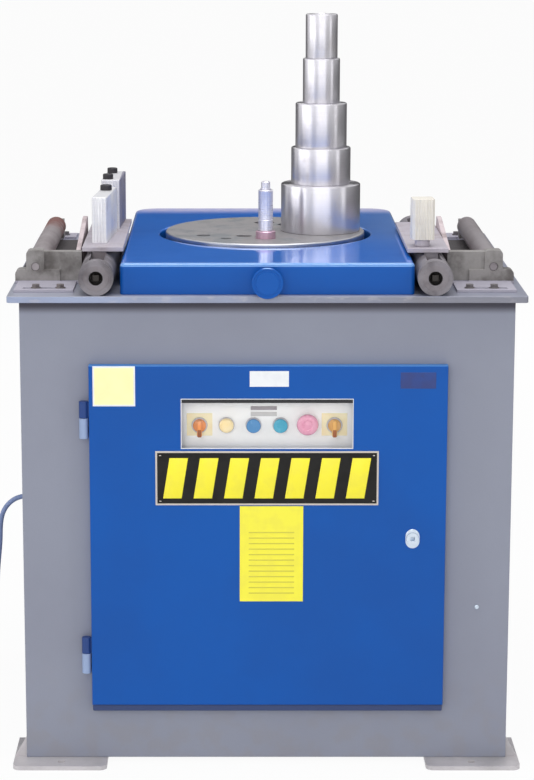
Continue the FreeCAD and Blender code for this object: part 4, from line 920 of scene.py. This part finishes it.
# Window edge: a pale bead pressed round the cut in the door, with a black strip along the top that
# stands in for the shade which the door's edge casts on the panel behind.
# One black material for the real rubber parts and for the window's painted shade strip.
rubber_and_shade_black = printed("black_rubber_and_shade", ink(30, 31, 35), ink(42, 42, 46), 0.6, 0.0, 60.0)
pale_bead = printed("pale_bead", ink(226, 228, 232), ink(208, 210, 216), 0.5, 0.0)
BEAD_WIDTH = 1.6
BEAD_FRONT = DOOR_FACE - 0.4
BEAD_BACK = DOOR_FACE + 2.4
bead = bmesh.new()
bead_rings = upright_rings(bead, (-158, 610), (158, 704), (
    (0.0, BEAD_BACK), (0.0, BEAD_FRONT + 0.4), (0.4, BEAD_FRONT), (BEAD_WIDTH - 0.4, BEAD_FRONT),
    (BEAD_WIDTH, BEAD_FRONT + 0.4), (BEAD_WIDTH, BEAD_BACK)))
skin(bead, bead_rings + bead_rings[:1])
keep_piece("window_bead", made_mesh("window_bead", bead, 0), pale_bead, "door_leaf")
# Painted shade: a black strip across the top of the window, where the panel lies in shade.
window_shade = small_block("window_shade_strip", (0.316, 0.0024, 0.008), 0.0006, middle=(0.0, -0.411, 0.7))
keep_piece("window_shade_strip", window_shade, rubber_and_shade_black, "door_leaf")

# Control panel: a white plate in the electric box behind the window, with yellow legend plates under
# the two selectors and grey strips over the buttons.
panel_white = printed("panel_white", ink(255, 255, 253), ink(252, 251, 248), 0.4, 0.1)
eased("control_plate", "control_panel", 0.0004, panel_white)
legend_yellow = printed("legend_yellow", ink(255, 243, 202), ink(252, 230, 178))
PANEL_FACE = -388.0
CONTROL_HEIGHT = 650.0
control_places = [-124 + 49.6 * k for k in range(6)]
for name, x in (("legend_left", control_places[0]), ("legend_right", control_places[5])):
    framed_plate(name, (x - 23.5, 630), (x + 23.5, 672), PANEL_FACE - 0.9, PANEL_FACE, 1.0, 0.06,
                 legend_yellow, "machine")
strip_grey = printed("strip_grey", ink(166, 158, 162), ink(148, 142, 148))
strip_pale = printed("strip_pale", ink(208, 206, 204), ink(196, 194, 194))
for name, bottom, top, tone in (("legend_strip", 678, 685, strip_grey),
                                ("legend_strip_lower", 666.5, 674.5, strip_pale)):
    framed_plate(name, (-30, bottom), (18, top), PANEL_FACE - 0.8, PANEL_FACE, 0.8, 0.06, tone,
                 "machine")

# Collars and lamp: turned rings that clamp the controls to the panel, in satin aluminium, and the
# cream lens of the pilot lamp.
collar_satin = worked_steel("collar_satin", ink(206, 204, 208), ink(182, 180, 184), 0.25, 0.3, 300.0, 0.4)
eased("control_collar_rings", "control_collars", 0.0006, collar_satin)
lens_cream = printed("lens_cream", ink(252, 226, 166), ink(252, 236, 196), 0.14, 0.6)
lens_profile = [(-400.4, 0), (-400.4, 8.4), (-399.6, 10.9), (-398.2, 12.6), (-395.6, 13.4),
                (-392.1, 13.5), (-392.1, 0)]
turned("lamp_lens", lens_profile, (control_places[1], 0, CONTROL_HEIGHT), "Y", lens_cream, "machine")

# Push buttons: moulded caps that spring back, a blue one and a teal one, with a dished face. A round
# stem behind each cap runs through its collar.
STEM_RADIUS = 7.9
STEM_END = -376.0
blue_cap = printed("button_blue_cap", ink(72, 136, 190), ink(96, 154, 202), 0.2, 0.5)
teal_cap = printed("button_teal_cap", ink(60, 160, 190), ink(84, 176, 202), 0.2, 0.5)
button_profile = [(-400, 0), (-400.1, 8.06), (-400.5, 10.8), (-400.2, 12.1), (-399.3, 13),
                  (-397.6, 13), (-397, 12.4), (-397, STEM_RADIUS), (STEM_END, STEM_RADIUS), (STEM_END, 0)]
for node, x, cap in (("button_blue", control_places[2], blue_cap),
                     ("button_teal", control_places[3], teal_cap)):
    turned(node + "_cap", button_profile, (x, 0, CONTROL_HEIGHT), "Y", cap, node,
           (node,))

# Emergency button: a moulded mushroom head with a ring round its face, which stays in when it is
# struck. Its red has faded to pink.
faded_red = printed("mushroom_pink", ink(226, 154, 180), ink(232, 174, 194), 0.24, 0.5)
mushroom_profile = [(-407.4, 0), (-407.3, 6), (-406.6, 7.4), (-406.8, 9), (-408, 10.2), (-407.8, 13),
                    (-406.4, 16.6), (-404.4, 18.9), (-402, 19.8), (-400, 19.4), (-398.7, 17),
                    (-398.5, 9.5), (-398.5, STEM_RADIUS), (STEM_END, STEM_RADIUS), (STEM_END, 0)]
turned("emergency_mushroom", mushroom_profile, (control_places[4], 0, CONTROL_HEIGHT + 3), "Y",
       faded_red, "emergency_button", ("emergency_button",))

# Selectors: turning knobs, each a round base with a wing across it and a dark tip that points at the
# legend. They are moulded in orange.
knob_dark = printed("knob_dark", ink(150, 84, 44), ink(120, 66, 40), 0.4, 0.2)
base_profile = [(-398, 0), (-398, 9), (-397.2, 11), (-396, 12), (-393, 12), (-392.5, 11.4),
                (-392.5, STEM_RADIUS), (-369.2, STEM_RADIUS), (-369.2, 0)]
for node, x, tint in (("selector_left", control_places[0], ink(236, 146, 78)),
                      ("selector_right", control_places[5], ink(222, 168, 92))):
    paler = (*[0.8 * c + 0.2 for c in tint[:3]], 1.0)
    knob_orange = printed(node + "_orange", tint, paler, 0.28, 0.4)
    turned(node + "_base", base_profile, (x, 0, CONTROL_HEIGHT), "Y", knob_orange, node)
    wing = small_block(node + "_wing", (0.009, 0.010, 0.031), 0.0028, segments=3,
                       middle=(x / 1000, -0.401, 0.6455))
    keep_piece(node + "_wing", wing, knob_orange, node, (node,))
    tip = small_block(node + "_tip", (0.0065, 0.0025, 0.014), 0.001, middle=(x / 1000, -0.4054, 0.6372))
    keep_piece(node + "_tip", tip, knob_dark, node)

# Rear cover: a sheet bolted over the opening in the back, with rows of louvres that let the motor's
# warm air out, in the cabinet's grey.


def finish_node(node, material):
    """A new material for a CAD node that keeps its own shape."""
    cad[node].data.materials.clear()
    cad[node].data.materials.append(material)


finish_node("rear_cover", cabinet_enamel)
HOOD_HALF = 0.104
HOOD_SECTION = ((0.0, 0.0125), (0.0045, 0.0095), (0.0085, 0.0025), (0.0085, 0.0), (0.007, 0.0),
                (0.007, 0.002), (0.0035, 0.0085), (0.0, 0.0105))
hood = bmesh.new()
hood_rings = []
for x, sunk in ((-HOOD_HALF, 0.003), (0.006 - HOOD_HALF, 0.0), (HOOD_HALF - 0.006, 0.0),
                (HOOD_HALF, 0.003)):
    hood_rings.append([hood.verts.new((x, y - sunk if y else y, z)) for y, z in HOOD_SECTION])
skin(hood, hood_rings, capped=True)
spread("rear_louvres", made_mesh("louvre_hood", hood, 40), 2, 9, 0.26, 0.208, (0.0, 0.394, 0.4365),
       UPRIGHT, cabinet_enamel, "machine")

# Drive inside the cabinet: a cast gearbox screwed under the table, steel shafts and gears, a motor
# on its hanger, two rubber belts, and the electric box with its contactors.
drive_casting = casting("drive_casting", ink(112, 116, 124), ink(84, 86, 92), 0.4, 0.2, 0.5)
gear_steel = worked_steel("gear_steel", ink(140, 136, 132), ink(96, 78, 58), 0.6, 0.32, 600.0)
motor_grey = enamel("motor_grey", ink(92, 98, 108), ink(76, 82, 92), 0.4, 0.1, 0.3)
box_grey = enamel("box_grey", ink(176, 178, 182), ink(160, 162, 168), 0.4, 0.1, 0.2)
black_case = printed("black_case", ink(44, 44, 46), ink(60, 60, 62), 0.45, 0.1)
inner_finishes = (
    (drive_casting, ("gearbox_housing", "gearbox_lid", "disc_bearing_housing", "driven_pulley")),
    (gear_steel, ("main_shaft", "main_gear", "layshaft", "input_shaft", "motor_shaft", "bearings",
                  "motor_hanger")),
    (motor_grey, ("motor_body",)),
    (box_grey, ("electric_box",)),
    (black_case, ("contactors", "limit_switches")),
    (rubber_and_shade_black, ("drive_belts",)),
)
for finish, nodes in inner_finishes:
    for node in nodes:
        finish_node(node, finish)

# Supply cord: round rubber lead from a gland low on the left wall down to the floor, where its
# spare length is tied in a coil beside the machine, with a five-pin plug.
CORD_RADIUS = 0.005
COIL_TURNS = 6.25
COIL_MIDDLE = 0.058
COIL_PITCH = 0.0108
COIL_POINTS = 20
LAYER_FLOOR = 0.0064
LAYER_RISE = 0.0108
cord_points = [(-0.476, 0.108, 0.392), (-0.498, 0.108, 0.3915), (-0.5212, 0.108, 0.3797),
               (-0.5368, 0.1082, 0.3589), (-0.5426, 0.1085, 0.3315), (-0.5432, 0.109, 0.2965),
               (-0.5498, 0.110, 0.237), (-0.5565, 0.1105, 0.1496), (-0.5625, 0.1095, 0.080),
               (-0.575, 0.1086, 0.040), (-0.598, 0.1082, 0.015), (-0.628, 0.108, 0.0066)]
coil_end = COIL_MIDDLE + COIL_TURNS / 4 * COIL_PITCH
coil_x, coil_y = -0.648, 0.108 + coil_end
half = COIL_TURNS / 2
for k in range(int(COIL_TURNS * COIL_POINTS) + 1):
    turned_so_far = k / COIL_POINTS
    radius = COIL_MIDDLE + COIL_PITCH * (abs(turned_so_far - half) - half / 2)
    angle = math.radians(-90.0 - 360.0 * turned_so_far)
    climb = min(1.0, max(0.0, (turned_so_far - half + 0.25) / 0.5))
    z = LAYER_FLOOR + climb * climb * (3 - 2 * climb) * LAYER_RISE
    cord_points.append((coil_x + radius * math.cos(angle), coil_y + radius * math.sin(angle), z))
tail_x, tail_z = coil_x - coil_end, LAYER_FLOOR + LAYER_RISE
cord_points += [(tail_x, coil_y + 0.034, tail_z + 0.0003),
                (tail_x + 0.004, coil_y + 0.070, tail_z + 0.004),
                (tail_x + 0.005, coil_y + 0.106, tail_z + 0.009),
                (tail_x + 0.0052, coil_y + 0.134, tail_z + 0.0095)]
cord_curve = bpy.data.curves.new("supply_cord", "CURVE")
cord_curve.dimensions = "3D"
cord_line = cord_curve.splines.new("NURBS")
cord_line.points.add(len(cord_points) - 1)
for spot, place in zip(cord_line.points, cord_points):
    spot.co = (*place, 1.0)
cord_line.order_u = 3
cord_line.use_endpoint_u = True
cord_line.resolution_u = 5
cord_curve.bevel_depth = CORD_RADIUS
cord_curve.bevel_resolution = 5
cord_curve.use_fill_caps = True
cord_sheath = printed("cord_sheath", ink(120, 136, 176), ink(104, 120, 160), 0.5, 0.0, 60.0)
cord_curve.materials.append(cord_sheath)
supply_cord = bpy.data.objects.new("supply_cord", cord_curve)
scene.collection.objects.link(supply_cord)
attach(supply_cord, "machine")
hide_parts("power_cord", "cord_coil", "cord_tail")

# Strain relief: a round nut on the cabinet's left wall with a tapered, ribbed sleeve of black rubber,
# from which the cord comes out.
relief_profile = [(7, 0), (7, 8), (0, 8), (0, 12.6), (-0.8, 13.4), (-6.5, 13.4), (-7.5, 12.4),
                  (-8, 10.2)]
RELIEF_RIBS = 4
for k in range(RELIEF_RIBS):
    relief_profile += [(-9 - 4 * k, 9.8 - 0.75 * k), (-11.4 - 4 * k, 9.4 - 0.75 * k),
                       (-11.6 - 4 * k, 7.8 - 0.5 * k), (-12.6 - 4 * k, 7.7 - 0.5 * k)]
relief_profile += [(-25, 6.2), (-25.4, 5.2), (-25.4, 0)]
turned("cord_strain_relief", relief_profile, (-452, 108, 392), "X", rubber_and_shade_black, "machine",
       ("cord_gland",), 48)

# Plug: a five-pin plug on the cord's end, with a red moulded shell that is ribbed for grip. Brass pins
# stand inside its shroud.
plug_low, plug_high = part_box("cord_plug")
plug_x, plug_z = (plug_low.x + plug_high.x) * 500, (plug_low.z + plug_high.z) * 500
plug_radius = (plug_high.x - plug_low.x) * 500
plug_start = plug_low.y * 1000
red_shell = printed("plug_red", ink(176, 40, 36), ink(190, 62, 54), 0.4, 0.2)


def grip_ribs(k, along, radius):
    return -1.1 if k % 6 < 3 and 54 < along < 92 and radius > plug_radius - 2 else 0.0


plug_profile = [(0, 0), (0, 5.4), (0.6, 7.6), (3, 8.2), (21, 13.6), (22, 15), (24, 15.4)]
plug_profile += [(along, plug_radius - sunk) for along, sunk in (
    (51, 3.2), (52, 0.8), (53.5, 0.1), (55, 0.1), (91, 0.1), (93, 0.1), (94, 1), (94.4, 3.1), (96, 3),
    (126.5, 3), (127.9, 3.8), (127.9, 5), (126.5, 5.5), (99, 5.5))]
plug_profile += [(99, 0)]
plug_shell = turned("supply_plug", plug_profile, (plug_x, plug_start, plug_z), "Y", red_shell,
                    "machine", ("cord_plug",), 72, grip_ribs)
pin_brass = worked_steel("pin_brass", ink(206, 176, 112), ink(150, 120, 76), 0.3, 0.3, 500.0)
plug_pin_profile = [(98.5, 0), (98.5, 2.5), (121.5, 2.5), (123.4, 1.6), (124, 0)]
PLUG_PINS = 5
PIN_CIRCLE = 11
for k in range(PLUG_PINS):
    angle = math.radians(360 / PLUG_PINS * k + 90)
    pin_at = (plug_x + PIN_CIRCLE * math.cos(angle), plug_start, plug_z + PIN_CIRCLE * math.sin(angle))
    turned("plug_pin_%d" % (k + 1), plug_pin_profile, pin_at, "Y", pin_brass,
                            "machine", (), 20)

# Cord tie: a hook-and-loop strap of black nylon, once round the coil's turns, where it holds them
# together.
TIE_CORNER = 5.0
TIE_BAND = ((-6.5, 0.1), (-6.0, 0.0), (6.0, 0.0), (6.5, 0.1), (6.5, 0.8), (6.0, 0.9), (-6.0, 0.9),
            (-6.5, 0.8))
tie_inner = (COIL_MIDDLE - COIL_TURNS / 4 * COIL_PITCH) * 1000 - 8.2 + TIE_CORNER
tie_outer = coil_end * 1000 + 6.6 - TIE_CORNER
tie_low, tie_high = 0.4 + TIE_CORNER, 24.6 - TIE_CORNER
tie_section = []
for x, z, first in ((tie_outer, tie_high, 0), (tie_inner, tie_high, 90), (tie_inner, tie_low, 180),
                    (tie_outer, tie_low, 270)):
    for step in range(5):
        angle = math.radians(first + 22.5 * step)
        tie_section.append((x, z, math.cos(angle), math.sin(angle)))
tie = bmesh.new()
tie_rings = []
for across, sunk in TIE_BAND:
    out = TIE_CORNER - sunk
    tie_rings.append([tie.verts.new(((x + out * ux) / 1000, across / 1000, (z + out * uz) / 1000))
                      for x, z, ux, uz in tie_section])
skin(tie, tie_rings + tie_rings[:1])
bmesh.ops.rotate(tie, verts=tie.verts, cent=(0, 0, 0), matrix=Matrix.Rotation(math.radians(62), 3, "Z"))
bmesh.ops.translate(tie, verts=tie.verts, vec=(coil_x, coil_y, 0))
cord_tie = keep_piece("cord_tie", made_mesh("cord_tie", tie), rubber_and_shade_black, "machine")
